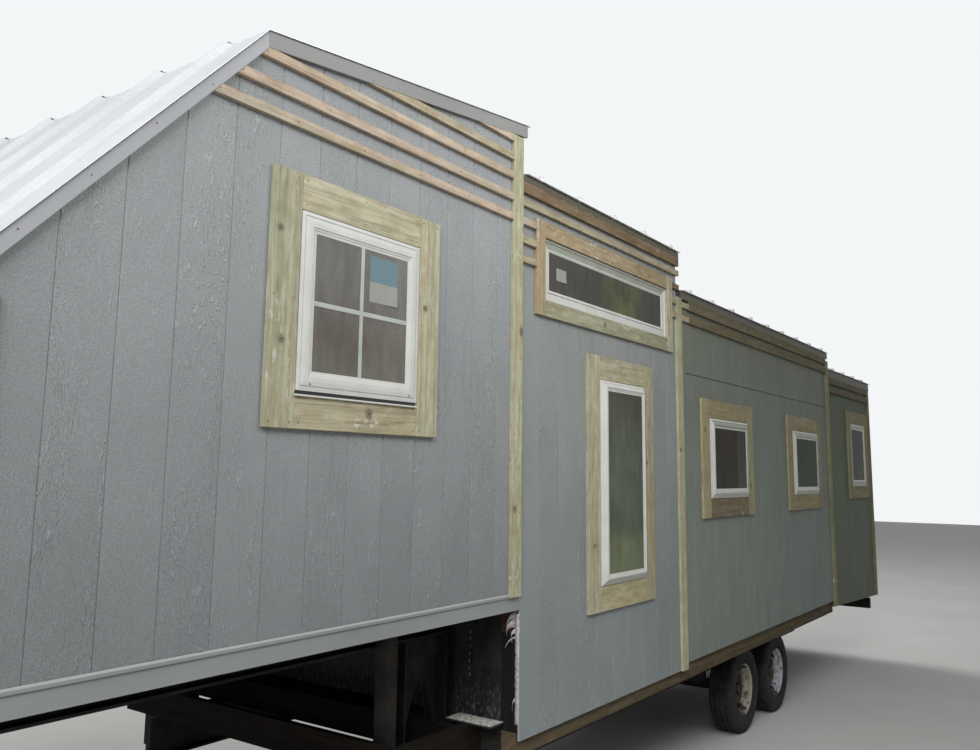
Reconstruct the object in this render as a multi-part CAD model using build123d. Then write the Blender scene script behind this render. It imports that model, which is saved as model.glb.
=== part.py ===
"""Tiny house on wheels: a gooseneck trailer house with stepped metal roofs.

Millimetres. The part's frame has +X to the rear, +Z up, and the ground at z = 0. The side that
faces -Y is the left side of the trailer. Lengths along the house are written as stations, counted
from the front corner of the gooseneck, and at(station) turns one into an X.
"""
from build123d import *
from math import cos, radians, sin, tan
import os

# Body
BODY_LENGTH = 10500
HALF_WIDTH = 1270
WALL = 110
INNER = HALF_WIDTH - WALL
ROOF_END = 70
BODY_FRONT = 2715
FRONT_END = 4700
MIDDLE_END = 8590

# Heights above the ground
RAIL_TOP = 745
RIM_TOP = 860
FRONT_SIDING_FOOT = 825
FLOOR_TOP = 885
GOOSENECK_UNDERSIDE = 1450
GOOSENECK_FLOOR_TOP = 1535
TAIL_FOOT_START = 798
TAIL_FOOT_END = 721

# Roofs: the plane under the metal
PEAK = (965, 3754)
NOSE_PITCH = 48.0
TOP_PITCH = 7.4
GABLE_PITCH = 7.125
EAVE_OVERHANG = 35
FRONT_EAVE = 3708
MIDDLE_EAVE = 3440
REAR_EAVE = 3271
DECK = 70
THIN_DECK = 45
STEP_LAP = 40
STEP_CLEAR = 50
FRONT_ROOF_END = 4718
RAKE_FASCIA = 49
SLOPE_FASCIA = 66
FASCIA_LAP = 3
FASCIA_FEET = (3672, 3379, 3188)

# Metal roofing: first rib, pitch and base width of each set of ribs
SHEET = 2
RIB_TOP = 24
RIB_HEIGHT = 22
NOSE_RIBS = (-1041, 438, 86)
FRONT_RIBS = (2857, 428, 44)
MIDDLE_RIBS = (4902, 437, 44)
REAR_RIBS = (8836, 437, 44)
SHEET_OVERHANG = 10
RIDGE_WING = 150

# Boards on the walls
BOARD = 19
NARROW_BOARD = 89
WIDE_BOARD = 140
BATTEN = 38
WIDE_BATTEN = 64
STUB_END = 4890
DIVIDERS = (2607, 4672, 8567, 10411)
DIVIDER_FEET = (1520, 825, 807, 730)
DIVIDER_HEADS = (3899, 3383, 3354, 3186)
GAP = 1
MITRE_GAP = 0.3

# Windows: centre station, sill height, opening width and height, trim width
WINDOWS = {
    "loft": (1513.5, 2419, 697, 697, WIDE_BOARD),
    "transom": (3713.5, 3060, 1589, 348, NARROW_BOARD),
    "tall": (3820.5, 1484, 587, 1201, WIDE_BOARD),
    "middle_a": (5645, 1954, 812, 600, WIDE_BOARD),
    "middle_b": (7705, 1954, 812, 600, WIDE_BOARD),
    "rear": (9865, 2024, 670, 712, WIDE_BOARD),
}
WINDOW_WALLS = {
    "loft": "gooseneck", "transom": "front", "tall": "front",
    "middle_a": "middle", "middle_b": "middle", "rear": "rear",
}
DOOR = (3820.5, FLOOR_TOP, 830, 2020, WIDE_BOARD)

# Window frames: width of the frame's face, and how far the glass stands in front of the siding
FRAMES = {
    "loft": (80, 17), "transom": (66, -2), "tall": (67, 39),
    "middle_a": (73, 31), "middle_b": (73, 31), "rear": (66, 9),
}
FRAME_LIP = 8
FRAME_BACK = 70
BEVEL = 40
PANE = 16

# Entry door
LEAF_BACK = 20
LEAF = 45
PANEL_SINK = 6
PANEL_MARGIN = 120
LOCK_RAIL = 880
KNOB_HEIGHT = 950
KNOB_RADIUS = 27

# Trailer
BEAM_Y = 800
FLANGE = 100
WEB = 8
RAIL_DEPTH = 230
RAIL_FRONT = 2070
TAIL_RAIL_DEPTH = 150
TAIL_RAIL_HALF = 25
TAIL_RAIL_END = BODY_LENGTH - 60
TAIL_CHANNEL = (1200, 120)
CROSS_COUNT = 10
CROSS_FIRST = 2370
CROSS_STEP = 640
CROSS_WIDTH = 50
CROSS_DROP = (12, 110)
NECK_DEPTH = 150
NECK_FRONT = 350
NECK_CROSSES = ((350, 500), (1400, 1460))
RISER = (2630, 2710)
FRONT_POST = (2230, 2350)
RISER_FLANGE = 140
JACK_STATION = 2155
JACK_Y = 893
JACK_TUBE = 70
JACK_TUBE_FOOT = 560
JACK_LEG = 54
JACK_PAD = 220
PLATE = 12
ARCH_TOP = 1080
ARCH_FEET = (760, 800)
PLATFORM_TOP = 895
PLATFORM_FRONT = 2510
PLATFORM_HALF = 1040
COUPLER_STATION = 425
COUPLER_FOOT = 1010
COUPLER_RADIUS = 50
SOCKET_RADIUS = 62
SOCKET_HEIGHT = 90
BALL_RADIUS = 30

# Wheels
WHEEL_STATIONS = (6460, 7303)
TYRE_RADIUS = 345
TYRE_HALF_WIDTH = 104
WHEEL_FACE = HALF_WIDTH - 216
WHEEL_WIDTH = 172
AXLE_RADIUS = 38
SPINDLE = 25
BRAKE_RADIUS = 125
SPRING_SEAT = 44
LEAF_LENGTHS = (300, 500, 720)
LEAF_RISE = 55
LEAF_STEP = 8.5
HANGER_FOOT = 440
BORE_CLEARANCE = 0.08


def at(station):
    return station - BODY_LENGTH / 2


def box(s0, s1, y0, y1, z0, z1):
    centre = Pos(at((s0 + s1) / 2), (y0 + y1) / 2, (z0 + z1) / 2)
    return centre * Box(s1 - s0, abs(y1 - y0), z1 - z0)


def side_prism(points, y0, y1):
    """Extrude an outline of (station, z) points across the house from y0 to y1."""
    outline = Polyline(*[(at(s), y0, z) for s, z in points], close=True)
    return Solid.extrude(make_face(outline).face(), Vector(0, y1 - y0, 0))


def cross_prism(points, s0, s1):
    """Extrude an outline of (y, z) points along the house from s0 to s1."""
    outline = Polyline(*[(at(s0), y, z) for y, z in points], close=True)
    return Solid.extrude(make_face(outline).face(), Vector(s1 - s0, 0, 0))


def mirrored(shape):
    return mirror(shape, about=Plane.XZ)


def both_sides(shapes):
    return list(shapes) + [mirrored(shape) for shape in shapes]


def nose_line(station, below=0):
    """Height of the steep nose roof, or of a line a perpendicular distance below it."""
    return PEAK[1] + (station - PEAK[0]) * tan(radians(NOSE_PITCH)) - below / cos(radians(NOSE_PITCH))


def top_line(station, below=0):
    return PEAK[1] + (station - PEAK[0]) * tan(radians(TOP_PITCH)) - below / cos(radians(TOP_PITCH))


def break_station(below_nose, below_top):
    """Station where two lines meet that run at these perpendicular distances below the roof."""
    drop = below_nose / cos(radians(NOSE_PITCH)) - below_top / cos(radians(TOP_PITCH))
    return PEAK[0] + drop / (tan(radians(NOSE_PITCH)) - tan(radians(TOP_PITCH)))


def gable_line(eave, y, below=0):
    slope = tan(radians(GABLE_PITCH))
    return eave + (HALF_WIDTH + EAVE_OVERHANG - abs(y)) * slope - below / cos(radians(GABLE_PITCH))


def opening(station, sill, width, height, grow=0):
    """A box through the left wall where a window or door goes."""
    return box(station - width / 2 - grow, station + width / 2 + grow,
               -HALF_WIDTH - 50, -INNER + 50, sill - grow, sill + height + grow)


def cut_openings(wall, section, door=False):
    for name, (station, sill, width, height, trim) in WINDOWS.items():
        if WINDOW_WALLS[name] == section and not (door and name == "tall"):
            wall = wall - opening(station, sill, width, height)
    if door and section == "front":
        wall = wall - opening(*DOOR[:4])
    return wall


def gooseneck_wall():
    """Side wall of the gooseneck, cut to the underside of the bent roof."""
    bend = break_station(THIN_DECK, THIN_DECK)
    points = [(0, GOOSENECK_FLOOR_TOP), (BODY_FRONT, GOOSENECK_FLOOR_TOP),
              (BODY_FRONT, top_line(BODY_FRONT, THIN_DECK)), (bend, top_line(bend, THIN_DECK)),
              (0, nose_line(0, THIN_DECK))]
    return side_prism(points, -HALF_WIDTH, -INNER)


def gable_wall_top(eave, deck):
    """Outline of a side wall's head: it follows the slope of the roof above it."""
    return [(-HALF_WIDTH, gable_line(eave, HALF_WIDTH, deck)), (-INNER, gable_line(eave, INNER, deck))]


def front_wall():
    """The siding hangs over the rim beam as a thin lip."""
    head = gable_wall_top(FRONT_EAVE, THIN_DECK)
    foot = [(-INNER, RIM_TOP), (-HALF_WIDTH + 18, RIM_TOP),
            (-HALF_WIDTH + 18, FRONT_SIDING_FOOT), (-HALF_WIDTH, FRONT_SIDING_FOOT)]
    return cross_prism(head + foot, BODY_FRONT, FRONT_END)


def middle_wall():
    head = gable_wall_top(MIDDLE_EAVE, DECK)
    foot = [(-INNER, RIM_TOP), (-HALF_WIDTH, RIM_TOP)]
    return cross_prism(head + foot, FRONT_END, MIDDLE_END)


def rear_side_wall():
    """The foot of the last wall slopes down to the rear with the trailer's tail."""
    head = gable_wall_top(REAR_EAVE, DECK)
    foot = [(-INNER, TAIL_FOOT_END), (-HALF_WIDTH, TAIL_FOOT_END)]
    block = cross_prism(head + foot, MIDDLE_END, BODY_LENGTH)
    below = side_prism([(MIDDLE_END - 1, TAIL_FOOT_START), (BODY_LENGTH + 1, TAIL_FOOT_END),
                        (BODY_LENGTH + 1, 0), (MIDDLE_END - 1, 0)], -HALF_WIDTH - 5, -INNER + 5)
    return block - below


def side_walls():
    makers = {"gooseneck": gooseneck_wall, "front": front_wall,
              "middle": middle_wall, "rear": rear_side_wall}
    nodes = {}
    for section, maker in makers.items():
        nodes["left_wall_" + section] = [cut_openings(maker(), section)]
        nodes["right_wall_" + section] = [mirrored(cut_openings(maker(), section, door=True))]
    return nodes


def nose_wall():
    points = [(0, GOOSENECK_FLOOR_TOP), (WALL, GOOSENECK_FLOOR_TOP),
              (WALL, nose_line(WALL, THIN_DECK)), (0, nose_line(0, THIN_DECK))]
    return [side_prism(points, -INNER, INNER)]


def lower_front_wall():
    return [box(BODY_FRONT, BODY_FRONT + 100, -INNER, INNER, FLOOR_TOP, GOOSENECK_FLOOR_TOP)]


def gable_end(s0, s1, foot, eave, deck):
    """A wall across the house whose head follows the gable."""
    points = [(-INNER, foot), (INNER, foot), (INNER, gable_line(eave, INNER, deck)),
              (0, gable_line(eave, 0, deck)), (-INNER, gable_line(eave, INNER, deck))]
    return cross_prism(points, s0, s1)


def step_walls():
    """Short walls that close the steps between the roofs, each on the end of the higher one."""
    feet = [gable_line(eave, INNER, deck) - STEP_LAP for s0, s1, eave, deck in gables()]
    start = BODY_FRONT - WALL
    head = [(start, feet[0]), (BODY_FRONT, feet[0]),
            (BODY_FRONT, top_line(BODY_FRONT, THIN_DECK)), (start, top_line(start, THIN_DECK))]
    return [side_prism(head, -INNER, INNER),
            gable_end(FRONT_END - WALL, FRONT_END, feet[1], FRONT_EAVE, THIN_DECK),
            gable_end(MIDDLE_END - WALL, MIDDLE_END, feet[2], MIDDLE_EAVE, DECK)]


def tail_height(station):
    run = (station - MIDDLE_END) / (BODY_LENGTH - MIDDLE_END)
    return TAIL_FOOT_START + run * (TAIL_FOOT_END - TAIL_FOOT_START)


def rear_wall():
    s0 = BODY_LENGTH - WALL
    wall = gable_end(s0, BODY_LENGTH, TAIL_FOOT_END, REAR_EAVE, DECK)
    below = side_prism([(s0 - 1, tail_height(s0 - 1)), (BODY_LENGTH + 1, tail_height(BODY_LENGTH + 1)),
                        (BODY_LENGTH + 1, 0), (s0 - 1, 0)], -INNER, INNER)
    return [wall - below]


def main_floor():
    """Level floor of the house, and the tail's floor that falls with the dovetail."""
    level = box(BODY_FRONT, MIDDLE_END, -INNER, INNER, RAIL_TOP, FLOOR_TOP)
    s0, s1 = MIDDLE_END, BODY_LENGTH - WALL
    rise = FLOOR_TOP - TAIL_FOOT_START
    tail = side_prism([(s0, tail_height(s0)), (s1, tail_height(s1)),
                       (s1, tail_height(s1) + rise), (s0, FLOOR_TOP)], -INNER, INNER)
    return [level + tail]


def gooseneck_floor():
    side = HALF_WIDTH - BOARD
    return [box(BOARD, BODY_FRONT, -side, side, GOOSENECK_UNDERSIDE, GOOSENECK_FLOOR_TOP)]


def rim_beams():
    """Weathered timber under the siding, from the front of the body to the third divider."""
    return both_sides([box(BODY_FRONT, DIVIDERS[2] + 20, -HALF_WIDTH + 20, -INNER, RAIL_TOP, RIM_TOP)])


def gooseneck_skirt():
    """Painted boards round the gooseneck floor, with a thin drip strip over them."""
    strip = 6
    side = box(0, BODY_FRONT - 40, -HALF_WIDTH, -HALF_WIDTH + BOARD - GAP,
               GOOSENECK_UNDERSIDE, GOOSENECK_FLOOR_TOP - 1)
    drip = box(0, BODY_FRONT - 110, -HALF_WIDTH - strip, -HALF_WIDTH,
               GOOSENECK_FLOOR_TOP - 18, GOOSENECK_FLOOR_TOP)
    nose = box(0, BOARD - GAP, -HALF_WIDTH + BOARD, HALF_WIDTH - BOARD,
               GOOSENECK_UNDERSIDE, GOOSENECK_FLOOR_TOP - 1)
    return both_sides([side + drip]) + [nose]


def front_platform():
    """Low timber frame in front of the body, with a narrow boarded shelf against the wall."""
    front, side = RAIL_FRONT, PLATFORM_HALF
    inner = BEAM_Y - RISER_FLANGE / 2 - 4
    header = box(front, front + BATTEN, -side, side, RAIL_TOP, PLATFORM_TOP)
    board = box(PLATFORM_FRONT, PLATFORM_FRONT + BATTEN, -inner, inner, RAIL_TOP, PLATFORM_TOP)
    shelf = box(PLATFORM_FRONT + BATTEN + GAP, BODY_FRONT, -inner, inner, PLATFORM_TOP - BATTEN, PLATFORM_TOP)
    joist = box(front + BATTEN + GAP, BODY_FRONT, -side, -side + BATTEN, RAIL_TOP, PLATFORM_TOP)
    outrigger = box(PLATFORM_FRONT, PLATFORM_FRONT + BATTEN, -side + BATTEN + GAP, -inner - GAP,
                    RAIL_TOP, PLATFORM_TOP)
    return [header, board, shelf] + both_sides([joist, outrigger])


def bent_boards(front, rear, lap, depths, y0, y1):
    """A board along the nose slope and one along the top slope, mitred where the roof bends."""
    bend, under = break_station(lap, lap), break_station(*depths)
    nose_bend, nose_under = bend - MITRE_GAP, under - MITRE_GAP
    nose = side_prism([(front, nose_line(front, lap)), (nose_bend, nose_line(nose_bend, lap)),
                       (nose_under, nose_line(nose_under, depths[0])), (front, nose_line(front, depths[0]))],
                      y0, y1)
    top = side_prism([(bend, top_line(bend, lap)), (rear, top_line(rear, lap)),
                      (rear, top_line(rear, depths[1])), (under, top_line(under, depths[1]))], y0, y1)
    return nose, top


def roof_decks():
    """Boarded decks under the metal: two on the gooseneck, and two halves on each gable."""
    decks = list(bent_boards(-ROOF_END, BODY_FRONT + ROOF_END / 2, 0, (THIN_DECK, THIN_DECK),
                             -HALF_WIDTH, HALF_WIDTH))
    for s0, s1, eave, deck in gables():
        half = cross_prism([(-HALF_WIDTH, gable_line(eave, HALF_WIDTH)), (-GAP, gable_line(eave, GAP)),
                            (-GAP, gable_line(eave, GAP, deck)),
                            (-HALF_WIDTH, gable_line(eave, HALF_WIDTH, deck))], s0, s1)
        decks += both_sides([half])
    return decks


def gables():
    """Start, end, eave height and deck thickness of the three level-eaved roofs."""
    return [(BODY_FRONT + GAP, FRONT_ROOF_END, FRONT_EAVE, THIN_DECK),
            (FRONT_END + GAP, MIDDLE_END + 46, MIDDLE_EAVE, DECK),
            (MIDDLE_END + GAP, BODY_LENGTH + 20, REAR_EAVE, DECK)]


def sheet_profile(low, high, ribs):
    """Closed outline of a metal sheet seen along its ribs: (across, up) points."""
    first, pitch, base = ribs
    over = [(low, 0)]
    rib = first
    while rib + base / 2 < high:
        over += [(rib - base / 2, 0), (rib - RIB_TOP / 2, RIB_HEIGHT),
                 (rib + RIB_TOP / 2, RIB_HEIGHT), (rib + base / 2, 0)]
        rib += pitch
    over += [(high, 0)]
    return over + [(across, up + SHEET) for across, up in reversed(over)]


def bent_roof_sheets():
    """The two ribbed sheets of the gooseneck, cut square to their slopes where the roof bends."""
    side = HALF_WIDTH + EAVE_OVERHANG - SHEET_OVERHANG
    profile = sheet_profile(-side, side, NOSE_RIBS)
    reach = 4000
    ends = box(-ROOF_END, BODY_FRONT + ROOF_END / 2 + SHEET_OVERHANG, -2 * side, 2 * side, 0, 2 * reach)
    sheets = []
    for pitch, run in ((NOSE_PITCH, -reach), (TOP_PITCH, reach)):
        along = Vector(cos(radians(pitch)), 0, sin(radians(pitch)))
        up = Vector(-sin(radians(pitch)), 0, cos(radians(pitch)))
        start = Vector(at(PEAK[0]), 0, PEAK[1]) + along * (MITRE_GAP if run > 0 else -MITRE_GAP)
        outline = Polyline(*[tuple(start + Vector(0, y, 0) + up * lift) for y, lift in profile], close=True)
        sheets.append(Solid.extrude(make_face(outline).face(), along * run) & ends)
    return sheets


def gable_sheets(s0, s1, eave, ribs):
    """Two ribbed sheets of one gable, with their ribs running from ridge to eave."""
    profile = sheet_profile(s0, s1, ribs)
    along = Vector(0, cos(radians(GABLE_PITCH)), sin(radians(GABLE_PITCH)))
    up = Vector(0, -sin(radians(GABLE_PITCH)), cos(radians(GABLE_PITCH)))
    edge = -HALF_WIDTH - EAVE_OVERHANG
    start = Vector(0, edge, eave) - along * 50
    outline = Polyline(*[tuple(start + Vector(at(s), 0, 0) + up * lift) for s, lift in profile], close=True)
    sheet = Solid.extrude(make_face(outline).face(), along * 1600)
    keep = box(s0 - 10, s1 + 10, edge, -4, 0, 6000)
    return both_sides([sheet & keep])


def roof_flashings():
    """A folded cap over the ridge of each gable, resting on the ribs."""
    low = RIB_HEIGHT + SHEET + GAP
    high = low + SHEET
    wing = RIDGE_WING
    caps = []
    for s0, s1, eave, deck in gables():
        points = [(-wing, gable_line(eave, wing) + low), (0, gable_line(eave, 0) + low),
                  (wing, gable_line(eave, wing) + low), (wing, gable_line(eave, wing) + high),
                  (0, gable_line(eave, 0) + high), (-wing, gable_line(eave, wing) + high)]
        caps.append(cross_prism(points, s0 + STEP_CLEAR, s1))
    return caps


def fascia_boards():
    """Painted boards under the roof edges: the gooseneck's rake and slope, and the eaves."""
    boards = list(bent_boards(-ROOF_END + 8, BODY_FRONT + 20, FASCIA_LAP, (RAKE_FASCIA, SLOPE_FASCIA),
                              -HALF_WIDTH - BOARD, -HALF_WIDTH - GAP))
    for divider, (s0, s1, eave, deck), foot in zip(DIVIDERS, gables(), FASCIA_FEET):
        start = divider + NARROW_BOARD + GAP
        boards.append(box(start, s1, -HALF_WIDTH - BOARD, -HALF_WIDTH - GAP, foot, eave - FASCIA_LAP))
    return both_sides(boards)


def strips(s0, s1, face, rows):
    """Level strips on the left wall, with these centre heights."""
    return [box(s0, s1, -HALF_WIDTH - BOARD, -HALF_WIDTH, z - face / 2, z + face / 2) for z in rows]


def gooseneck_battens():
    """Five rows that run into the sloping fascia and are cut along it."""
    rake, slope = RAKE_FASCIA + GAP, SLOPE_FASCIA + GAP
    under = break_station(rake, slope)
    end = DIVIDERS[0] - GAP
    outline = [(0, 3300), (end, 3300), (end, top_line(end, slope)), (under, top_line(under, slope)),
               (300, nose_line(300, rake)), (0, 3000)]
    below_fascia = side_prism(outline, -HALF_WIDTH - BOARD, -HALF_WIDTH)
    return [strip & below_fascia for strip in strips(500, end, BATTEN, (3452, 3557, 3673, 3776, 3879))]


def battens():
    """Furring strips along the top of the side walls, thin ones and wide ones in level rows."""
    after = [divider + NARROW_BOARD + GAP for divider in DIVIDERS]
    before = [divider - GAP for divider in DIVIDERS]
    station, sill, width, height, trim = WINDOWS["transom"]
    left_of_transom = station - width / 2 - trim - GAP
    right_of_transom = station + width / 2 + trim + GAP
    rows = gooseneck_battens()
    rows += strips(after[0], FRONT_ROOF_END, WIDE_BATTEN, (3639,))
    rows += strips(after[0], FRONT_ROOF_END, BATTEN, (3555,))
    rows += strips(after[0], left_of_transom, BATTEN, (3247, 3351, 3452))
    rows += strips(right_of_transom, before[1], BATTEN, (3246, 3347))
    rows += strips(right_of_transom, FRONT_ROOF_END, BATTEN, (3452,))
    rows += strips(after[1], STUB_END, BATTEN, (3242, 3340))
    rows += strips(STUB_END + GAP, before[2], WIDE_BATTEN, (3251, 3346))
    rows += strips(after[2], before[3], WIDE_BATTEN, (3057, 3155))
    return both_sides(rows)


def corner_boards():
    """Upright boards that divide the sections and stand on the corners."""
    boards = [box(s, s + NARROW_BOARD, -HALF_WIDTH - BOARD, -HALF_WIDTH, foot, head)
              for s, foot, head in zip(DIVIDERS, DIVIDER_FEET, DIVIDER_HEADS)]
    nose = box(0, NARROW_BOARD, -HALF_WIDTH - BOARD, -HALF_WIDTH, GOOSENECK_FLOOR_TOP + 1,
               nose_line(0, RAKE_FASCIA + 2))
    boards.append(nose)
    return both_sides(boards)


def trim_boards(station, sill, width, height, trim, foot=True):
    """Four flat boards round an opening: the sides run full height, the others fit between."""
    y0, y1 = -HALF_WIDTH - BOARD, -HALF_WIDTH
    left, right = station - width / 2, station + width / 2
    low = sill - trim if foot else sill
    sides = [box(left - trim, left, y0, y1, low, sill + height + trim),
             box(right, right + trim, y0, y1, low, sill + height + trim)]
    caps = [box(left + GAP, right - GAP, y0, y1, sill + height, sill + height + trim)]
    if foot:
        caps.append(box(left + GAP, right - GAP, y0, y1, sill - trim, sill))
    return sides + caps


def window_names(side):
    """Windows of one side: the right wall has the door where the tall window is."""
    return [name for name in WINDOWS if side == "left" or name != "tall"]


def window_trims():
    left = [board for name in window_names("left") for board in trim_boards(*WINDOWS[name])]
    right = [mirrored(board) for name in window_names("right") for board in trim_boards(*WINDOWS[name])]
    door = [mirrored(board) for board in trim_boards(*DOOR, foot=False)]
    return left + right + door


def upright_rectangle(y, s0, s1, z0, z1):
    outline = Polyline((at(s0), y, z0), (at(s1), y, z0), (at(s1), y, z1), (at(s0), y, z1), close=True)
    return make_face(outline).face()


def window_frame(station, sill, width, height, face, glass):
    """A vinyl frame whose bevelled face rises from its outer edge to a lip round the glass."""
    front = glass + FRAME_LIP
    shoulder = min(BOARD, front - 2)
    s0, s1, z0, z1 = station - width / 2, station + width / 2, sill, sill + height
    body = box(s0, s1, -HALF_WIDTH - shoulder, -HALF_WIDTH + FRAME_BACK, z0, z1)
    bevel = loft([upright_rectangle(-HALF_WIDTH - shoulder, s0, s1, z0, z1),
                  upright_rectangle(-HALF_WIDTH - front, s0 + BEVEL, s1 - BEVEL, z0 + BEVEL, z1 - BEVEL)])
    hole = box(s0 + face, s1 - face, -HALF_WIDTH - front - 1, -HALF_WIDTH + FRAME_BACK + 1,
               z0 + face, z1 - face)
    return body + bevel - hole


def window_pane(station, sill, width, height, face, glass):
    front = -HALF_WIDTH - glass
    return box(station - width / 2 + face, station + width / 2 - face, front, front + PANE,
               sill + face, sill + height - face)


def window_set(maker):
    left = [maker(*WINDOWS[name][:4], *FRAMES[name]) for name in window_names("left")]
    right = [mirrored(maker(*WINDOWS[name][:4], *FRAMES[name])) for name in window_names("right")]
    return left + right


def entry_door():
    """A closed door leaf with two sunk panels and a knob, fixed in the right wall."""
    station, sill, width, height, trim = DOOR
    left, right = station - width / 2, station + width / 2
    front = -HALF_WIDTH + LEAF_BACK
    leaf = box(left, right, front, front + LEAF, sill, sill + height)
    for low, high in ((sill + 2 * PANEL_MARGIN, sill + LOCK_RAIL),
                      (sill + LOCK_RAIL + PANEL_MARGIN, sill + height - PANEL_MARGIN)):
        leaf = leaf - box(left + PANEL_MARGIN, right - PANEL_MARGIN, front - 1, front + PANEL_SINK, low, high)
    x, z = at(left + PANEL_MARGIN / 2), sill + KNOB_HEIGHT
    knob_y = -HALF_WIDTH - BOARD / 4
    shank = Pos(x, (front + knob_y) / 2, z) * Rot(90, 0, 0) * Cylinder(12, front - knob_y + 2)
    knob = Pos(x, knob_y, z) * Sphere(KNOB_RADIUS)
    return [mirrored(leaf + shank + knob)]


def i_section(width, depth, flange=12):
    """Outline of an I-beam centred on the origin: (across, up) points."""
    w, d, t, f = width / 2, depth / 2, WEB / 2, flange
    right = [(w, -d), (w, -d + f), (t, -d + f), (t, d - f), (w, d - f), (w, d)]
    return right + [(-across, -up) for across, up in right]


def beam_along(s0, s1, y, z, width, depth):
    return cross_prism([(y + across, z + up) for across, up in i_section(width, depth)], s0, s1)


def main_rails():
    """Two I-beam rails under the body, each with a lighter box rail that seats the falling tail."""
    start, step, end = MIDDLE_END - 60, MIDDLE_END + GAP, TAIL_RAIL_END
    rails = []
    for y in (-BEAM_Y, BEAM_Y):
        rail = beam_along(RAIL_FRONT, MIDDLE_END, y, RAIL_TOP - RAIL_DEPTH / 2, FLANGE, RAIL_DEPTH)
        points = [(start, RAIL_TOP), (step, RAIL_TOP), (step, tail_height(step) - GAP),
                  (end, tail_height(end) - GAP), (end, tail_height(end) - TAIL_RAIL_DEPTH),
                  (start, RAIL_TOP - TAIL_RAIL_DEPTH)]
        rails.append(rail + side_prism(points, y - TAIL_RAIL_HALF, y + TAIL_RAIL_HALF))
    return rails


def crossmembers():
    """Channels between the rails, one across the tail, and two between the neck beams."""
    web = BEAM_Y - WEB / 2
    inset, foot = CROSS_DROP
    members = []
    for step in range(CROSS_COUNT):
        station = CROSS_FIRST + CROSS_STEP * step
        members.append(box(station, station + CROSS_WIDTH, -web, web, RAIL_TOP - foot, RAIL_TOP - inset))
    half, depth = TAIL_CHANNEL
    low = tail_height(TAIL_RAIL_END) - TAIL_RAIL_DEPTH - 10
    members.append(box(TAIL_RAIL_END + GAP, BODY_LENGTH, -half, half, low, low + depth))
    neck_low, neck_top = GOOSENECK_UNDERSIDE - NECK_DEPTH + inset, GOOSENECK_UNDERSIDE - inset
    hole = Pos(at(COUPLER_STATION), 0, neck_top) * Cylinder(COUPLER_RADIUS + 1, 4 * NECK_DEPTH)
    for s0, s1 in NECK_CROSSES:
        members.append(box(s0, s1, -web, web, neck_low, neck_top) - hole)
    return members


def neck_beams():
    """The two raised beams that carry the gooseneck floor."""
    z = GOOSENECK_UNDERSIDE - NECK_DEPTH / 2
    return [beam_along(NECK_FRONT, RISER[1], y, z, FLANGE, NECK_DEPTH) for y in (-BEAM_Y, BEAM_Y)]


def post(s0, s1, y, width, top):
    """An upright I-beam on a rail, with its flanges facing forward and back."""
    section = [(at((s0 + s1) / 2) + up, y + across, RAIL_TOP)
               for across, up in i_section(width, s1 - s0)]
    return Solid.extrude(make_face(Polyline(*section, close=True)).face(), Vector(0, 0, top - RAIL_TOP))


def neck_risers():
    """Front post and rear riser of each side, joined by an arched gusset plate."""
    top = GOOSENECK_UNDERSIDE - NECK_DEPTH
    fore, back = FRONT_POST[1] - 2, RISER[0] + 2
    arch = [(FRONT_POST[1], ARCH_FEET[0]), (2475, ARCH_TOP), (2550, ARCH_TOP), (RISER[0], ARCH_FEET[1])]
    outline = [(fore, top), (fore, ARCH_FEET[0])] + arch + [(back, ARCH_FEET[1]), (back, top)]
    sides = []
    for y in (-BEAM_Y, BEAM_Y):
        riser = post(*RISER, y, RISER_FLANGE, top)
        front = post(*FRONT_POST, y, FLANGE, top)
        sides.append(riser + front + side_prism(outline, y - PLATE / 2, y + PLATE / 2))
    return sides


def coupler():
    """Gooseneck coupler: a round tube through the head beam, with a ball socket at its foot."""
    foot, bore_depth = COUPLER_FOOT, 2 * BALL_RADIUS
    top = GOOSENECK_UNDERSIDE - 5
    x = at(COUPLER_STATION)
    tube = Pos(x, 0, (foot + bore_depth + top) / 2) * Cylinder(COUPLER_RADIUS, top - foot - bore_depth)
    socket = Pos(x, 0, foot + SOCKET_HEIGHT / 2) * Cylinder(SOCKET_RADIUS, SOCKET_HEIGHT)
    bore = Pos(x, 0, foot + bore_depth / 2) * Cylinder(BALL_RADIUS, bore_depth)
    collar = Pos(x, 0, GOOSENECK_UNDERSIDE - NECK_DEPTH - 20) * Cylinder(SOCKET_RADIUS + 4, 30)
    return [tube + socket + collar - bore]


def landing_jacks():
    """Two square-tube jacks outside the rails, with their legs out and their feet on the ground."""
    half, leg, foot = JACK_TUBE / 2, JACK_LEG / 2, JACK_PAD / 2
    s = JACK_STATION
    top = GOOSENECK_UNDERSIDE - 20
    jacks = []
    for side in (-1, 1):
        y = side * JACK_Y
        tube = box(s - half, s + half, y - half, y + half, JACK_TUBE_FOOT, top)
        inner = box(s - leg, s + leg, y - leg, y + leg, PLATE / 2, JACK_TUBE_FOOT + 10)
        plate = box(s - foot, s + foot, y - foot, y + foot, 0, PLATE)
        jack = tube + inner + plate
        near, far = side * (BEAM_Y + FLANGE / 2), side * (JACK_Y - half + 1)
        for low, high in ((GOOSENECK_UNDERSIDE - NECK_DEPTH, top), (600, RAIL_TOP)):
            jack = jack + box(s - half, s + half, min(near, far), max(near, far), low, high)
        jacks.append(jack)
    return jacks


def leaf(station, length, rise, z, y, width=60, thick=9):
    """One spring leaf: a flat arc whose ends stand higher than its middle."""
    half = length / 2
    x, front = at(station), y - width / 2
    low = ThreePointArc((x - half, front, z + rise), (x, front, z), (x + half, front, z + rise))
    high = ThreePointArc((x - half, front, z + rise + thick), (x, front, z + thick),
                         (x + half, front, z + rise + thick))
    ends = [Line(low @ 0, high @ 0), Line(low @ 1, high @ 1)]
    return Solid.extrude(make_face([low, high] + ends).face(), Vector(0, width, 0))


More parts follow.
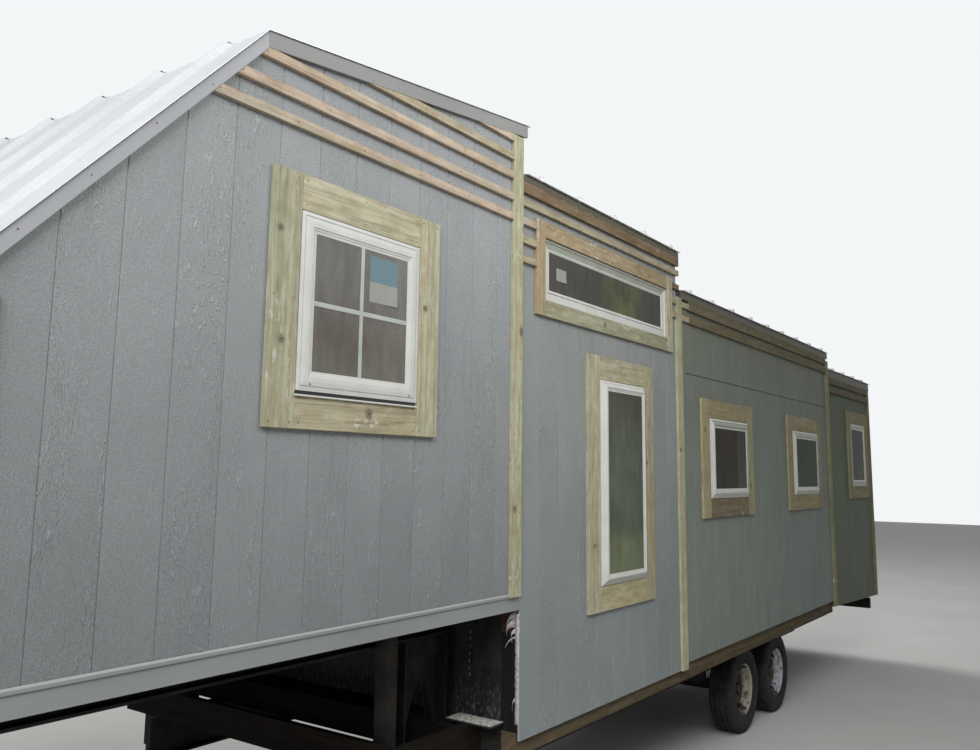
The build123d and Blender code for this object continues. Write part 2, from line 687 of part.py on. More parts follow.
def axles():
    """Two tube axles with spring seats, brake back plates and the spindles for the wheels."""
    z = TYRE_RADIUS
    plate_face = WHEEL_FACE - 165
    tubes = []
    for station in WHEEL_STATIONS:
        x = at(station)
        axle = Pos(x, 0, z) * Rot(90, 0, 0) * Cylinder(AXLE_RADIUS, 2 * (plate_face - 5))
        axle = axle + Pos(x, 0, z) * Rot(90, 0, 0) * Cylinder(SPINDLE, 2 * (WHEEL_FACE - 66))
        for side in (-1, 1):
            axle = axle + Pos(x, side * (plate_face - 5), z) * Rot(90, 0, 0) * Cylinder(BRAKE_RADIUS, 6)
            y = side * BEAM_Y
            axle = axle + box(station - 55, station + 55, y - 34, y + 34, z + 10, z + SPRING_SEAT)
        tubes.append(axle)
    return tubes


def leaf_springs():
    """A pair of leaf packs on each side, with the hangers and the equaliser that hold their ends."""
    middle = (WHEEL_STATIONS[0] + WHEEL_STATIONS[1]) / 2
    longest = LEAF_LENGTHS[-1]
    hangers = (WHEEL_STATIONS[0] - longest / 2 - 5, middle, WHEEL_STATIONS[1] + longest / 2 + 5)
    sides = []
    for y in (-BEAM_Y, BEAM_Y):
        packs = None
        for station in WHEEL_STATIONS:
            for step, length in enumerate(LEAF_LENGTHS):
                rise = LEAF_RISE * (length / longest) ** 2
                blade = leaf(station, length, rise, TYRE_RADIUS + SPRING_SEAT + LEAF_STEP * step, y)
                packs = blade if packs is None else packs + blade
        for station in hangers:
            packs = packs + box(station - 75, station + 75, y - 40, y + 40, HANGER_FOOT, RAIL_TOP - RAIL_DEPTH)
        sides.append(packs)
    return sides


def turned(points, shift=0):
    """Revolve a closed outline of (radius, across) points about the wheel's axis."""
    outline = Polyline(*[(r, shift + w, 0) for r, w in points], close=True)
    return revolve(make_face(outline).face(), Axis.Y)


def across_hole(radius, angle, distance, middle, length):
    place = Pos(distance * cos(radians(angle)), middle, distance * sin(radians(angle)))
    return place * Rot(90, 0, 0) * Cylinder(radius, length)


def rim():
    """Steel wheel: rolled barrel, dished disc with hand holes and studs, hub and brake drum."""
    barrel = [(207, 0), (207, 5), (193, 10), (191, 36), (167, 56), (167, 104), (191, 124), (193, 162),
              (207, 167), (207, 172), (200, 172), (187, 160), (185, 128), (161, 108), (161, 52),
              (185, 32), (187, 12), (200, 0)]
    disc = [(164, 84), (135, 62), (118, 60), (95, 78), (0, 78), (0, 84), (97, 84), (120, 66),
            (133, 68), (164, 90)]
    drum = [(0, 84), (130, 84), (130, 158), (0, 158)]
    cap = [(0, 42), (30, 46), (36, 78), (0, 79)]
    wheel = turned(barrel) + turned(disc) + turned(drum) + turned(cap)
    for step in range(8):
        wheel = wheel - across_hole(13, 45 * step, 127, 64, 30)
    for step in range(6):
        wheel = wheel + across_hole(10, 60 * step + 20, 70, 70, 20)
    return wheel - across_hole(SPINDLE + BORE_CLEARANCE, 0, 0, 58 + 60, 120)


def tyre():
    """A trailer tyre: rounded sidewalls, three grooves round the tread, hollow inside."""
    wide = TYRE_HALF_WIDTH
    outside = [(193.5, 75.5), (212, 80), (240, wide - 6), (275, wide), (312, wide - 5), (335, wide - 14),
               (TYRE_RADIUS, 76), (TYRE_RADIUS, 50), (338, 48), (338, 41), (TYRE_RADIUS, 39),
               (TYRE_RADIUS, 5), (338, 4)]
    inside = [(193.5, 62), (225, wide - 24), (270, wide - 13), (310, wide - 20), (328, 66)]
    outline = outside + [(r, -w) for r, w in reversed(outside)]
    outline += [(r, -w) for r, w in inside] + [(r, w) for r, w in reversed(inside)]
    return turned(outline, WHEEL_WIDTH / 2)


def wheels():
    nodes = {}
    for end, station in zip(("front", "rear"), WHEEL_STATIONS):
        place = Pos(at(station), -WHEEL_FACE, TYRE_RADIUS)
        nodes[f"rim_left_{end}"] = [place * rim()]
        nodes[f"tyre_left_{end}"] = [place * tyre()]
        nodes[f"rim_right_{end}"] = [mirrored(place * rim())]
        nodes[f"tyre_right_{end}"] = [mirrored(place * tyre())]
    return nodes


def roof_sheets():
    """All the metal sheets: each lower roof starts behind the divider board of its step."""
    front, middle, rear = gables()
    ends = (front[1] + SHEET_OVERHANG, middle[1] + SHEET_OVERHANG, BODY_LENGTH + ROOF_END)
    starts = (BODY_FRONT + 5, DIVIDERS[1] + NARROW_BOARD + 5, DIVIDERS[2] + NARROW_BOARD + 5)
    return {
        "gooseneck_roof_sheets": bent_roof_sheets(),
        "front_roof_sheets": gable_sheets(starts[0], ends[0], FRONT_EAVE, FRONT_RIBS),
        "middle_roof_sheets": gable_sheets(starts[1], ends[1], MIDDLE_EAVE, MIDDLE_RIBS),
        "rear_roof_sheets": gable_sheets(starts[2], ends[2], REAR_EAVE, REAR_RIBS),
    }


def build():
    nodes = side_walls()
    nodes.update({
        "nose_wall": nose_wall(),
        "lower_front_wall": lower_front_wall(),
        "rear_wall": rear_wall(),
        "step_walls": step_walls(),
        "main_floor": main_floor(),
        "gooseneck_floor": gooseneck_floor(),
        "rim_beams": rim_beams(),
        "gooseneck_skirt": gooseneck_skirt(),
        "front_platform": front_platform(),
        "roof_decks": roof_decks(),
        "roof_flashings": roof_flashings(),
        "fascia_boards": fascia_boards(),
        "battens": battens(),
        "corner_boards": corner_boards(),
        "window_trims": window_trims(),
        "window_frames": window_set(window_frame),
        "window_glass": window_set(window_pane),
        "entry_door": entry_door(),
        "main_rails": main_rails(),
        "crossmembers": crossmembers(),
        "neck_beams": neck_beams(),
        "neck_risers": neck_risers(),
        "coupler": coupler(),
        "landing_jacks": landing_jacks(),
        "axles": axles(),
        "leaf_springs": leaf_springs(),
    })
    nodes.update(roof_sheets())
    nodes.update(wheels())
    return nodes


def solids_of(shapes):
    return [solid for shape in shapes for solid in shape.solids()]


os.makedirs("parts", exist_ok=True)
for name, shapes in build().items():
    export_step(Compound(solids_of(shapes)), f"parts/{name}.step")
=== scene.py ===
# %% [markdown]
# # Tiny house on wheels
#
# This lesson dresses a gooseneck trailer house: grooved and painted siding, ribbed metal roofs in
# steps, raw boards round the windows and along the corners, and a dark steel trailer underneath.
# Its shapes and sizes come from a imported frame. The frame could be scaled or redrawn here, but
# then the looks and the working model would drift apart, so every piece below reads its place
# from the frame's own meshes instead.

# %% Load the frame
import bmesh
import bpy
import math
import random
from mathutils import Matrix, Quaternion, Vector
from mathutils.bvhtree import BVHTree


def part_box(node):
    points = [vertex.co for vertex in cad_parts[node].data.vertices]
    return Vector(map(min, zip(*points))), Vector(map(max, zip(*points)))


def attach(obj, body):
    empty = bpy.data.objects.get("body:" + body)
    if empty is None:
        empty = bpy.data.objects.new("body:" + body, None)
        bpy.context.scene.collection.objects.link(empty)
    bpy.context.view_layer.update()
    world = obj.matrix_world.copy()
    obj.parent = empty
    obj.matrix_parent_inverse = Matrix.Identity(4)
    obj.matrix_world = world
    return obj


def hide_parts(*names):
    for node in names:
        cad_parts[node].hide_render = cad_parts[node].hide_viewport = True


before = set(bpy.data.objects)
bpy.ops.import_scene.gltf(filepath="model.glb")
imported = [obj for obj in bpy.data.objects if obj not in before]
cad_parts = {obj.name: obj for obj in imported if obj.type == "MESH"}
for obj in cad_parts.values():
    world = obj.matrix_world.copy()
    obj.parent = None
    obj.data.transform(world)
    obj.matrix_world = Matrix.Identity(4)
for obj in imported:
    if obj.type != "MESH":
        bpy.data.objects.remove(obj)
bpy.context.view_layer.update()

random.seed(11)
HALF_LENGTH = 5.25
WALL_FACE = 1.27
X, Y, Z = Vector((1, 0, 0)), Vector((0, 1, 0)), Vector((0, 0, 1))


# %% [markdown]
# ## The camera
# A camera could be placed by eye until the picture looks right. Here the real one was worked out:
# a camera held 2.5 m in front of the siding and a little ahead of the nose, turned along the wall
# and tilted up. Position, turn, tilt and roll are written as measured, so that edges of the
# model fall on the edges in the picture.

# %% Place the camera
CAMERA_PLACE = Vector((-HALF_LENGTH - 1.03, -WALL_FACE - 2.48, 2.125))
CAMERA_TURN = math.radians(54.38)
CAMERA_TILT = math.radians(8.09)
CAMERA_ROLL = math.radians(0.65)
PICTURE_WIDTH = 980
PICTURE_HEIGHT = 750
FOCAL_PIXELS = 870.7
AXIS_HEIGHT = 349.2


def placed(name, data):
    """Put a new object with this data into the scene."""
    made = bpy.data.objects.new(name, data)
    bpy.context.scene.collection.objects.link(made)
    return made


def aim(made, place, way, roll=0.0):
    """Stand a camera or a lamp at a place and turn it one way."""
    made.location = place
    made.rotation_mode = "QUATERNION"
    made.rotation_quaternion = way.to_track_quat("-Z", "Y") @ Quaternion(Z, roll)


camera = placed("camera", bpy.data.cameras.new("camera"))
bpy.context.scene.camera = camera
sight = Vector((math.sin(CAMERA_TURN) * math.cos(CAMERA_TILT),
                math.cos(CAMERA_TURN) * math.cos(CAMERA_TILT), math.sin(CAMERA_TILT)))
aim(camera, CAMERA_PLACE, sight, CAMERA_ROLL)
camera.data.lens = camera.data.sensor_width * FOCAL_PIXELS / PICTURE_WIDTH
camera.data.shift_y = (AXIS_HEIGHT - PICTURE_HEIGHT / 2) / PICTURE_WIDTH
camera.data.clip_end = 200
print("camera at", tuple(round(v, 3) for v in camera.location), "lens", round(camera.data.lens, 2))


# %% [markdown]
# ## Light
# The house stands in soft daylight that comes from beyond the nose and fades along the wall. A
# sun lamp would light both ends alike. Two wide panels fade with distance as that daylight does:
# one high ahead of the nose, and one beside the front walls that makes their tops brighter than
# their feet. A third behind the house lights the sides the picture does not show, and a pale
# world fills the shadows. The camera, and rays that come off gloss or go through glass, see that
# world brighter than it lights the house, so the background stays pale.

# %% Light the stage
SKY_LIGHT = ((0.96, 0.98, 1.0), 0.26)
SKY_SEEN = ((0.90, 0.92, 0.93), 1.0)
SEEN_BY = ("Is Glossy Ray", "Is Transmission Ray")
PANELS = {"front_panel": ((-10.5, -4.5, 7.0), (-3.0, -1.0, 2.4), (5, 4), 760),
          "side_panel": ((-2.5, -4.1, 5.1), (-4.5, -1.27, 2.2), (2, 2), 100),
          "far_panel": ((8.0, 11.0, 10.0), (0.0, 0.5, 1.5), (8, 6), 1450)}


def pale_world():
    world = bpy.data.worlds.new("soft_sky")
    bpy.context.scene.world = world
    world.use_nodes = True
    tree = world.node_tree
    tree.nodes.clear()
    out = tree.nodes.new("ShaderNodeOutputWorld")
    blend = tree.nodes.new("ShaderNodeMixShader")
    path = tree.nodes.new("ShaderNodeLightPath")
    shown = path.outputs["Is Camera Ray"]
    for ray in SEEN_BY:
        either = tree.nodes.new("ShaderNodeMath")
        either.operation = "MAXIMUM"
        tree.links.new(shown, either.inputs[0])
        tree.links.new(path.outputs[ray], either.inputs[1])
        shown = either.outputs["Value"]
    tree.links.new(shown, blend.inputs["Fac"])
    for (colour, strength), socket in zip((SKY_LIGHT, SKY_SEEN), blend.inputs[1:]):
        sky = tree.nodes.new("ShaderNodeBackground")
        sky.inputs["Color"].default_value = (*colour, 1)
        sky.inputs["Strength"].default_value = strength
        tree.links.new(sky.outputs[0], socket)
    tree.links.new(blend.outputs[0], out.inputs["Surface"])


def light_panel(name, place, target, size, power):
    lamp = bpy.data.lights.new(name, "AREA")
    lamp.shape = "RECTANGLE"
    lamp.size, lamp.size_y = size
    lamp.energy = power
    panel = placed(name, lamp)
    aim(panel, place, Vector(target) - Vector(place))
    panel.visible_camera = False


pale_world()
for name, setting in PANELS.items():
    light_panel(name, *setting)
bpy.context.scene.view_settings.view_transform = "Standard"
print("sky", SKY_LIGHT[1], "panels", len(PANELS))


# %% [markdown]
# ## Shader helpers
# Every finish here is a node tree on one Principled shader. Building each tree by hand is long,
# so a small class keeps the tree and offers the few steps that the finishes share: a stretched
# coordinate, a noise, a sum, a colour ramp, a mix and a bump.

# %% The finish helper
class Finish:
    """A material and the few node steps that its recipe needs.

    Gloss is the specular level. Rough dark surfaces have little, or they would look grey."""

    def __init__(self, name, roughness=0.6, metallic=0.0, gloss=0.5):
        self.material = bpy.data.materials.new(name)
        self.material.use_nodes = True
        self.tree = self.material.node_tree
        self.shader = self.tree.nodes["Principled BSDF"]
        self.settle(self.shader, Roughness=roughness, Metallic=metallic, Specular_IOR_Level=gloss)
        self.coords = self.tree.nodes.new("ShaderNodeTexCoord")
        self.own = self.coords.outputs["Object"]

    def settle(self, node, **inputs):
        for key, value in inputs.items():
            node.inputs[key.replace("_", " ")].default_value = value
        return node

    def node(self, kind, **inputs):
        return self.settle(self.tree.nodes.new(kind), **inputs)

    def feed(self, value, socket):
        """Put a number, a colour or another node's output into a socket."""
        if hasattr(value, "is_linked"):
            self.tree.links.new(value, socket)
        elif isinstance(value, tuple):
            socket.default_value = (*value, 1) if socket.type == "RGBA" else value
        else:
            socket.default_value = value

    def calc(self, operation, *values):
        made = self.tree.nodes.new("ShaderNodeMath")
        made.operation = operation
        for value, socket in zip(values, made.inputs):
            self.feed(value, socket)
        return made.outputs["Value"]

    def times(self, first, second):
        return self.calc("MULTIPLY", first, second)

    def less(self, first, second):
        return self.calc("SUBTRACT", first, second)

    def measure(self, operation, *vectors):
        """A length, or the distance between two places."""
        made = self.tree.nodes.new("ShaderNodeVectorMath")
        made.operation = operation
        for vector, socket in zip(vectors, made.inputs):
            self.feed(vector, socket)
        return made.outputs["Value"]

    def split(self, vector):
        made = self.tree.nodes.new("ShaderNodeSeparateXYZ")
        self.feed(vector, made.inputs["Vector"])
        return made.outputs["X"], made.outputs["Y"], made.outputs["Z"]

    def join(self, *values):
        made = self.tree.nodes.new("ShaderNodeCombineXYZ")
        for value, socket in zip(values, made.inputs):
            self.feed(value, socket)
        return made.outputs["Vector"]

    def noise(self, scale, detail=4.0, stretch=(1, 1, 1), of=None, roughness=0.55, distortion=0.0):
        """A noise over the object's own coordinates, or another vector, scaled along each axis."""
        place = self.node("ShaderNodeMapping", Scale=stretch)
        self.feed(self.own if of is None else of, place.inputs["Vector"])
        made = self.node("ShaderNodeTexNoise", Scale=scale, Detail=detail, Roughness=roughness,
                         Distortion=distortion)
        self.feed(place.outputs["Vector"], made.inputs["Vector"])
        return made.outputs["Fac"]

    def ramp(self, value, *stops):
        """A colour ramp. A stop's colour may be one number, for a grey."""
        made = self.node("ShaderNodeValToRGB")
        band = made.color_ramp
        while len(band.elements) < len(stops):
            band.elements.new(0.5)
        for element, (place, colour) in zip(band.elements, stops):
            element.position = place
            element.color = (*(colour if isinstance(colour, tuple) else (colour,) * 3), 1)
        self.feed(value, made.inputs["Fac"])
        return made.outputs["Color"]

    def fade(self, value, start, end, full=1.0):
        return self.ramp(value, (start, 0.0), (end, full))

    def mix(self, amount, first, second, kind="MIX"):
        made = self.tree.nodes.new("ShaderNodeMix")
        made.data_type = "RGBA"
        made.blend_type = kind
        for value, number in ((amount, 0), (first, 6), (second, 7)):
            self.feed(value, made.inputs[number])
        return made.outputs[2]

    def tinted(self, colour, *shades):
        for shade in shades:
            colour = self.mix(1.0, colour, shade, "MULTIPLY")
        return colour

    def paint(self, colour):
        self.feed(colour, self.shader.inputs["Base Color"])

    def rough(self, value, low, high):
        grade = self.node("ShaderNodeMapRange", To_Min=low, To_Max=high)
        self.feed(value, grade.inputs["Value"])
        self.feed(grade.outputs["Result"], self.shader.inputs["Roughness"])

    def bump(self, height, strength, distance, under=None):
        made = self.node("ShaderNodeBump", Strength=strength, Distance=distance)
        self.feed(height, made.inputs["Height"])
        if under is not None:
            self.feed(under, made.inputs["Normal"])
        self.feed(made.outputs["Normal"], self.shader.inputs["Normal"])
        return made.outputs["Normal"]


def mottled(name, low, high, scale, detail=4.0, stretch=(1, 1, 1), span=(0.3, 0.7), rough=None,
            bump=None, **shader):
    """A simple finish: one noise moves its colour, and its roughness and relief where asked."""
    finish = Finish(name, **shader)
    cloud = finish.noise(scale, detail, stretch)
    finish.paint(finish.ramp(cloud, (span[0], low), (span[1], high)))
    if rough:
        finish.rough(cloud, *rough)
    if bump:
        finish.bump(cloud, *bump)
    return finish.material


print("finish helper ready")


# %% [markdown]
# ## Floor
# The stage is a plain pale floor. A flat plane would do, and does: it only has to catch the
# shadow. Its material has a faint mottling so that it isn't one dead colour.

# %% Lay the floor
FLOOR_REACH = 40


def stage_floor():
    mesh = bpy.data.meshes.new("stage_floor")
    corners = [(x * FLOOR_REACH, y * FLOOR_REACH, 0) for x, y in ((-1, -1), (1, -1), (1, 1), (-1, 1))]
    mesh.from_pydata(corners, [], [(0, 1, 2, 3)])
    mesh.materials.append(mottled("stage_floor", (0.60, 0.59, 0.57), (0.66, 0.65, 0.63), 0.8,
                                  roughness=0.9))
    floor = placed("stage_floor", mesh)
    floor.location.z = -0.001


stage_floor()
print("floor laid")


# %% [markdown]
# ## Mesh helpers
# The frame's meshes arrive as triangles with split corners. Before a piece can be bevelled or cut,
# its corners are joined and its flat faces made whole again. Working on a copy keeps the frame
# as it was, and the copy then stands for the node.

# %% Copy and clean a frame node
SPOT = 1e-5


def clean_copy(node):
    shape = bmesh.new()
    shape.from_mesh(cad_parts[node].data)
    bmesh.ops.remove_doubles(shape, verts=shape.verts, dist=SPOT)
    bmesh.ops.dissolve_limit(shape, angle_limit=math.radians(1), verts=shape.verts, edges=shape.edges)
    return shape


def corners(group):
    """Low and high corner of a group of faces."""
    points = [vert.co for face in group for vert in face.verts]
    return tuple(Vector([pick(co[axis] for co in points) for axis in range(3)]) for pick in (min, max))


def middle(group):
    low, high = corners(group)
    return (low + high) / 2


def solids(shape):
    """Groups of faces, one for each solid of the mesh."""
    left = set(shape.faces)
    groups = []
    while left:
        group = {left.pop()}
        front = list(group)
        while front:
            for edge in front.pop().edges:
                for other in edge.link_faces:
                    if other in left:
                        left.remove(other)
                        group.add(other)
                        front.append(other)
        groups.append(group)
    return sorted(groups, key=lambda group: tuple(round(v, 3) for v in corners(group)[0]))


def boxes(node):
    """Low and high corner of each solid of a node."""
    shape = clean_copy(node)
    found = [corners(group) for group in solids(shape)]
    shape.free()
    return found


def piece(name, shape, finishes, body="house", stands_for=None, smooth=False):
    """Turn a bmesh into an object that rides on a body of the frame."""
    mesh = bpy.data.meshes.new(name)
    shape.to_mesh(mesh)
    shape.free()
    for material in finishes:
        mesh.materials.append(material)
    made = placed(name, mesh)
    if smooth:
        mesh.shade_smooth()
    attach(made, body)
    if stands_for:
        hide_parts(*stands_for)
    print(name, len(mesh.polygons), "faces")
    return made


def closed_piece(name, shape, finish):
    """A piece of one finish, whose faces are all turned outwards."""
    bmesh.ops.recalc_face_normals(shape, faces=shape.faces)
    return piece(name, shape, [finish])


def dress(node, material):
    """Give a frame node a finish, and leave its mesh alone."""
    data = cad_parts[node].data
    data.materials.clear()
    data.materials.append(material)


def bridge(shape, first, second):
    """Join two rings of corners with a band of four-sided faces."""
    band = []
    for index in range(len(first)):
        after = (index + 1) % len(first)
        band.append(shape.faces.new((first[index], first[after], second[after], second[index])))
    return band


print("mesh helpers ready for", len(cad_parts), "nodes")


# %% [markdown]
# ## Painted siding
# The walls are pressed-wood panels with an embossed cedar grain, a groove every 8 inches, and two
# coats of grey paint. The grain is strong in some boards and nearly absent in others. An image
# could carry it; here it is made of contour lines. A noise stretched upright has long nested
# contours, which are just what sawn cedar shows, and a second noise says where they fade. Each
# board between two grooves draws its own random strength, and a fine stipple covers all of it.
# Light and shade are painted into the paint: lighter towards the top of the front walls as
# painted light, and darker and greener towards the rear as painted shade, so each section has one
# tint for its foot and one for its top.

# %% The siding finish
GROOVE_PITCH = 0.2032
FIRST_GROOVE = {"gooseneck": 0.250, "front": 2.891, "middle": 4.965, "rear": 8.790}
PAINT_LOW = (0.213, 0.225, 0.223)
PAINT_HIGH = (0.248, 0.261, 0.258)
PAINTED_LIGHT_AND_SHADE = {"gooseneck": ((0.88, 0.88, 0.91), (1.24, 1.23, 1.26)),
           "front": ((1.0, 1.06, 1.06), (1.13, 1.12, 1.09)),
           "middle": ((0.88, 0.94, 0.86), (0.72, 0.75, 0.61)),
           "rear": ((0.48, 0.54, 0.41), (0.36, 0.41, 0.27))}
PAINTED_LIGHT_SPAN = (1.6, 3.2)
SEED_SPREAD = 31.0
CONTOURS = 95.0
RAGGED_EDGE = 7.0
STIPPLE_RELIEF = 0.0028
GRAIN_RELIEF = 0.0030


def siding_finish(name, along_y=False, first=0.0, painted_light=(1.0, 1.0)):
    finish = Finish(name, gloss=0.07)
    x, y, z = finish.split(finish.own)
    along = y if along_y else x
    board = finish.calc("FLOOR", finish.calc("DIVIDE", finish.less(along, first), GROOVE_PITCH))
    dice = finish.tree.nodes.new("ShaderNodeTexWhiteNoise")
    dice.noise_dimensions = "1D"
    finish.feed(board, dice.inputs["W"])
    luck = dice.outputs["Value"]
    place = finish.join(along, z, finish.times(luck, SEED_SPREAD))

    def layer(across, up, detail):
        return finish.noise(1.0, detail, (across, up, 1), place)

    level = finish.calc("ADD", finish.times(layer(9.0, 1.5, 1), CONTOURS),
                        finish.times(layer(150, 42, 2), RAGGED_EDGE))
    broken = finish.fade(layer(70, 24, 1), 0.40, 0.50)
    contour = finish.times(finish.fade(finish.calc("SINE", level), 0.55, 0.95), broken)
    patch = finish.fade(layer(5.5, 1.4, 2), 0.42, 0.56)
    strength = finish.ramp(luck, (0.30, 0.25), (0.60, 1.0))
    grain = finish.times(contour, finish.times(patch, strength))
    stipple = finish.noise(185, 3.5, of=place, roughness=0.75)
    cloud = finish.noise(2.0, 5, (1, 0.7, 1), place)
    # Painted light and shade: one tint at the foot of each section and one at its top.
    (foot, top), (low, high) = painted_light, PAINTED_LIGHT_SPAN
    height = finish.calc("DIVIDE", finish.less(z, low), high - low)
    # The raised grain is painted up to 1.3 times lighter: a painted highlight.
    finish.paint(finish.tinted(finish.ramp(cloud, (0.30, PAINT_LOW), (0.70, PAINT_HIGH)),
                               finish.ramp(height, (0.0, foot), (1.0, top)),
                               finish.ramp(grain, (0.0, 1.0), (0.9, 1.30)),
                               finish.ramp(stipple, (0.36, 0.80), (0.64, 1.17))))
    finish.rough(stipple, 0.45, 0.70)
    dimples = finish.bump(stipple, 1.0, STIPPLE_RELIEF)
    finish.bump(grain, 1.0, GRAIN_RELIEF, under=dimples)
    return finish.material


SIDE_SIDING = {section: siding_finish(f"siding_paint_{section}", first=start - HALF_LENGTH,
                                      painted_light=PAINTED_LIGHT_AND_SHADE[section])
               for section, start in FIRST_GROOVE.items()}
END_SIDING = siding_finish("siding_paint_ends", along_y=True)
print("siding finishes", len(SIDE_SIDING) + 1)


# %% [markdown]
# ## Grooves
# A groove could be a dark line in the paint, but a real one has two sides: from the nose, the
# near side is dark and the far side catches the light. So they are cut. One cutter holds a
# narrow wedge for each groove, and a boolean takes all of them out of a wall at once, window
# openings and sloping heads included.

# %% Groove cutters
GROOVE = (0.007, 0.003)
SEAM = (0.007, 0.007)
CUTTER_PROUD = 0.004
BOTTOM_SHARE = 0.2
WALL_REACH = (0.4, 4.2)


def wedge(shape, centre, along, run, out, reach, size=GROOVE):
    """Add a long wedge that runs one way and has its wide side proud of a wall's face."""
    width, depth = size
    rows = ((-width / 2, CUTTER_PROUD), (-width / 2, 0), (-width * BOTTOM_SHARE, -depth),
            (width * BOTTOM_SHARE, -depth), (width / 2, 0), (width / 2, CUTTER_PROUD))
    rings = [[shape.verts.new(centre + along * across + out * lift + run * step)
              for across, lift in rows] for step in reach]
    bridge(shape, *rings)
    shape.faces.new(list(reversed(rings[0])))
    shape.faces.new(rings[1])


def cut(target, cutter):
    bmesh.ops.recalc_face_normals(cutter, faces=cutter.faces)
    mesh = bpy.data.meshes.new("cutter")
    cutter.to_mesh(mesh)
    cutter.free()
    tool = placed("cutter", mesh)
    modifier = target.modifiers.new("grooves", "BOOLEAN")
    modifier.operation = "DIFFERENCE"
    modifier.solver = "EXACT"
    modifier.object = tool
    view = bpy.context.evaluated_depsgraph_get()
    result = bpy.data.meshes.new_from_object(target.evaluated_get(view))
    target.modifiers.clear()
    old = target.data
    target.data = result
    bpy.data.meshes.remove(old)
    bpy.data.objects.remove(tool)


print("groove", GROOVE, "seam", SEAM)


# %% [markdown]
# Where the front wall ends over the drop, its cut edge shows: a strip of siding and wrap, and a
# stud behind it, painted nearly black as painted shade. These are thin layers, so the shader
# splits the edge by depth and height rather than by more pieces of mesh.

# %% The open wall end
def wall_end_finish():
    finish = Finish("open_wall_end", gloss=0.1)
    y, z = finish.split(finish.own)[1:]
    depth = finish.less(WALL_FACE, finish.calc("ABSOLUTE", y))
    grain = finish.noise(1.0, 4, (60, 60, 4))
    # The stud's near-black is painted shade.
    stud = finish.ramp(grain, (0.3, (0.006, 0.006, 0.006)), (0.7, (0.014, 0.013, 0.013)))
    red = finish.ramp(grain, (0.3, (0.045, 0.024, 0.018)), (0.7, (0.085, 0.048, 0.036)))
    board = finish.mix(finish.fade(finish.times(z, 0.5), 0.6650, 0.6652), stud, red)
    edge = finish.fade(finish.times(depth, 10.0), 0.10, 0.12)
    finish.paint(finish.mix(edge, (0.30, 0.30, 0.29), board))
    finish.rough(grain, 0.7, 0.95)
    finish.bump(grain, 0.4, 0.001)
    return finish.material


WALL_END = wall_end_finish()
print("wall end ready")

# %% [markdown]
# The side walls take upright grooves at the places measured on the left side, and the right side
# mirrors them. The middle wall also shows the joint round a lower sheet of siding: a level seam
# above the windows and an upright one beside the divider board.

# %% Cut the side walls
SEAM_HEIGHT = 2.852
SEAM_STATION = 4.845
SEAM_STOP = 0.045
EDGE_LAND = 0.02


def side_wall(side, section):
    node = f"{side}_wall_{section}"
    low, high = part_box(node)
    out = -Y if side == "left" else Y
    face = out * WALL_FACE
    shape = clean_copy(node)
    if section == "front":
        for panel in shape.faces:
            if panel.normal.x < -0.9 and panel.calc_center_median().x < low.x + SPOT:
                panel.material_index = 1
    wall = piece(f"{node}_siding", shape, [SIDE_SIDING[section], WALL_END], stands_for=[node])
    cutter = bmesh.new()
    x = FIRST_GROOVE[section] - HALF_LENGTH
    while x < high.x - EDGE_LAND:
        if x > low.x + EDGE_LAND:
            wedge(cutter, X * x + face, X, Z, out, WALL_REACH)
        x += GROOVE_PITCH
    if section == "middle":
        seam = SEAM_STATION - HALF_LENGTH
        wedge(cutter, X * seam + face, X, Z, out, (WALL_REACH[0], SEAM_HEIGHT), SEAM)
        cut(wall, cutter)
        cutter = bmesh.new()
        wedge(cutter, Z * SEAM_HEIGHT + face, Z, X, out, (seam, high.x - SEAM_STOP), SEAM)
    cut(wall, cutter)


for side in ("left", "right"):
    for section in FIRST_GROOVE:
        side_wall(side, section)


# %% [markdown]
# The nose, the rear wall and the steps between the roofs face along the trailer. They carry the
# same siding; the nose and the rear wall have their grooves spread from the middle outwards.

# %% Cut the end walls
END_GROOVES = range(-5, 6)


def end_wall(node, face, out):
    wall = piece(f"{node}_siding", clean_copy(node), [END_SIDING], stands_for=[node])
    cutter = bmesh.new()
    for step in END_GROOVES:
        wedge(cutter, X * face + Y * step * GROOVE_PITCH, Y, Z, out, WALL_REACH)
    cut(wall, cutter)


end_wall("nose_wall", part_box("nose_wall")[0].x, -X)
end_wall("rear_wall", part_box("rear_wall")[1].x, X)
dress("step_walls", END_SIDING)


# %% [markdown]
# ## Raw boards
# The trims, corner boards and battens are unpainted lumber. Streaks, knots and colour differ from
# board to board: some are greenish from their treatment, some orange, some nearly white. A
# material for each would repeat one recipe many times, so the colours are a table. Each row is a
# place, as metres from the nose and height, and the colour of the boards nearest to it.

# %% Colours of the boards
GREENISH = (0.335, 0.340, 0.255)
PALE_PINE = (0.400, 0.385, 0.290)
ORANGE_PINE = (0.330, 0.268, 0.182)
TAN = (0.415, 0.350, 0.290)
WHITISH = (0.370, 0.330, 0.250)
RED_BROWN = (0.185, 0.135, 0.092)
SHADED_BROWN = (0.165, 0.143, 0.098)
# Painted shade: a darker brown for the battens at the rear.
REAR_SHADED_BROWN = (0.135, 0.125, 0.085)
# Painted shade: the platform under the house is painted nearly black.
PAINTED_SHADE_BLACK = (0.014, 0.012, 0.011)
DEEP_BROWN = (0.092, 0.086, 0.064)
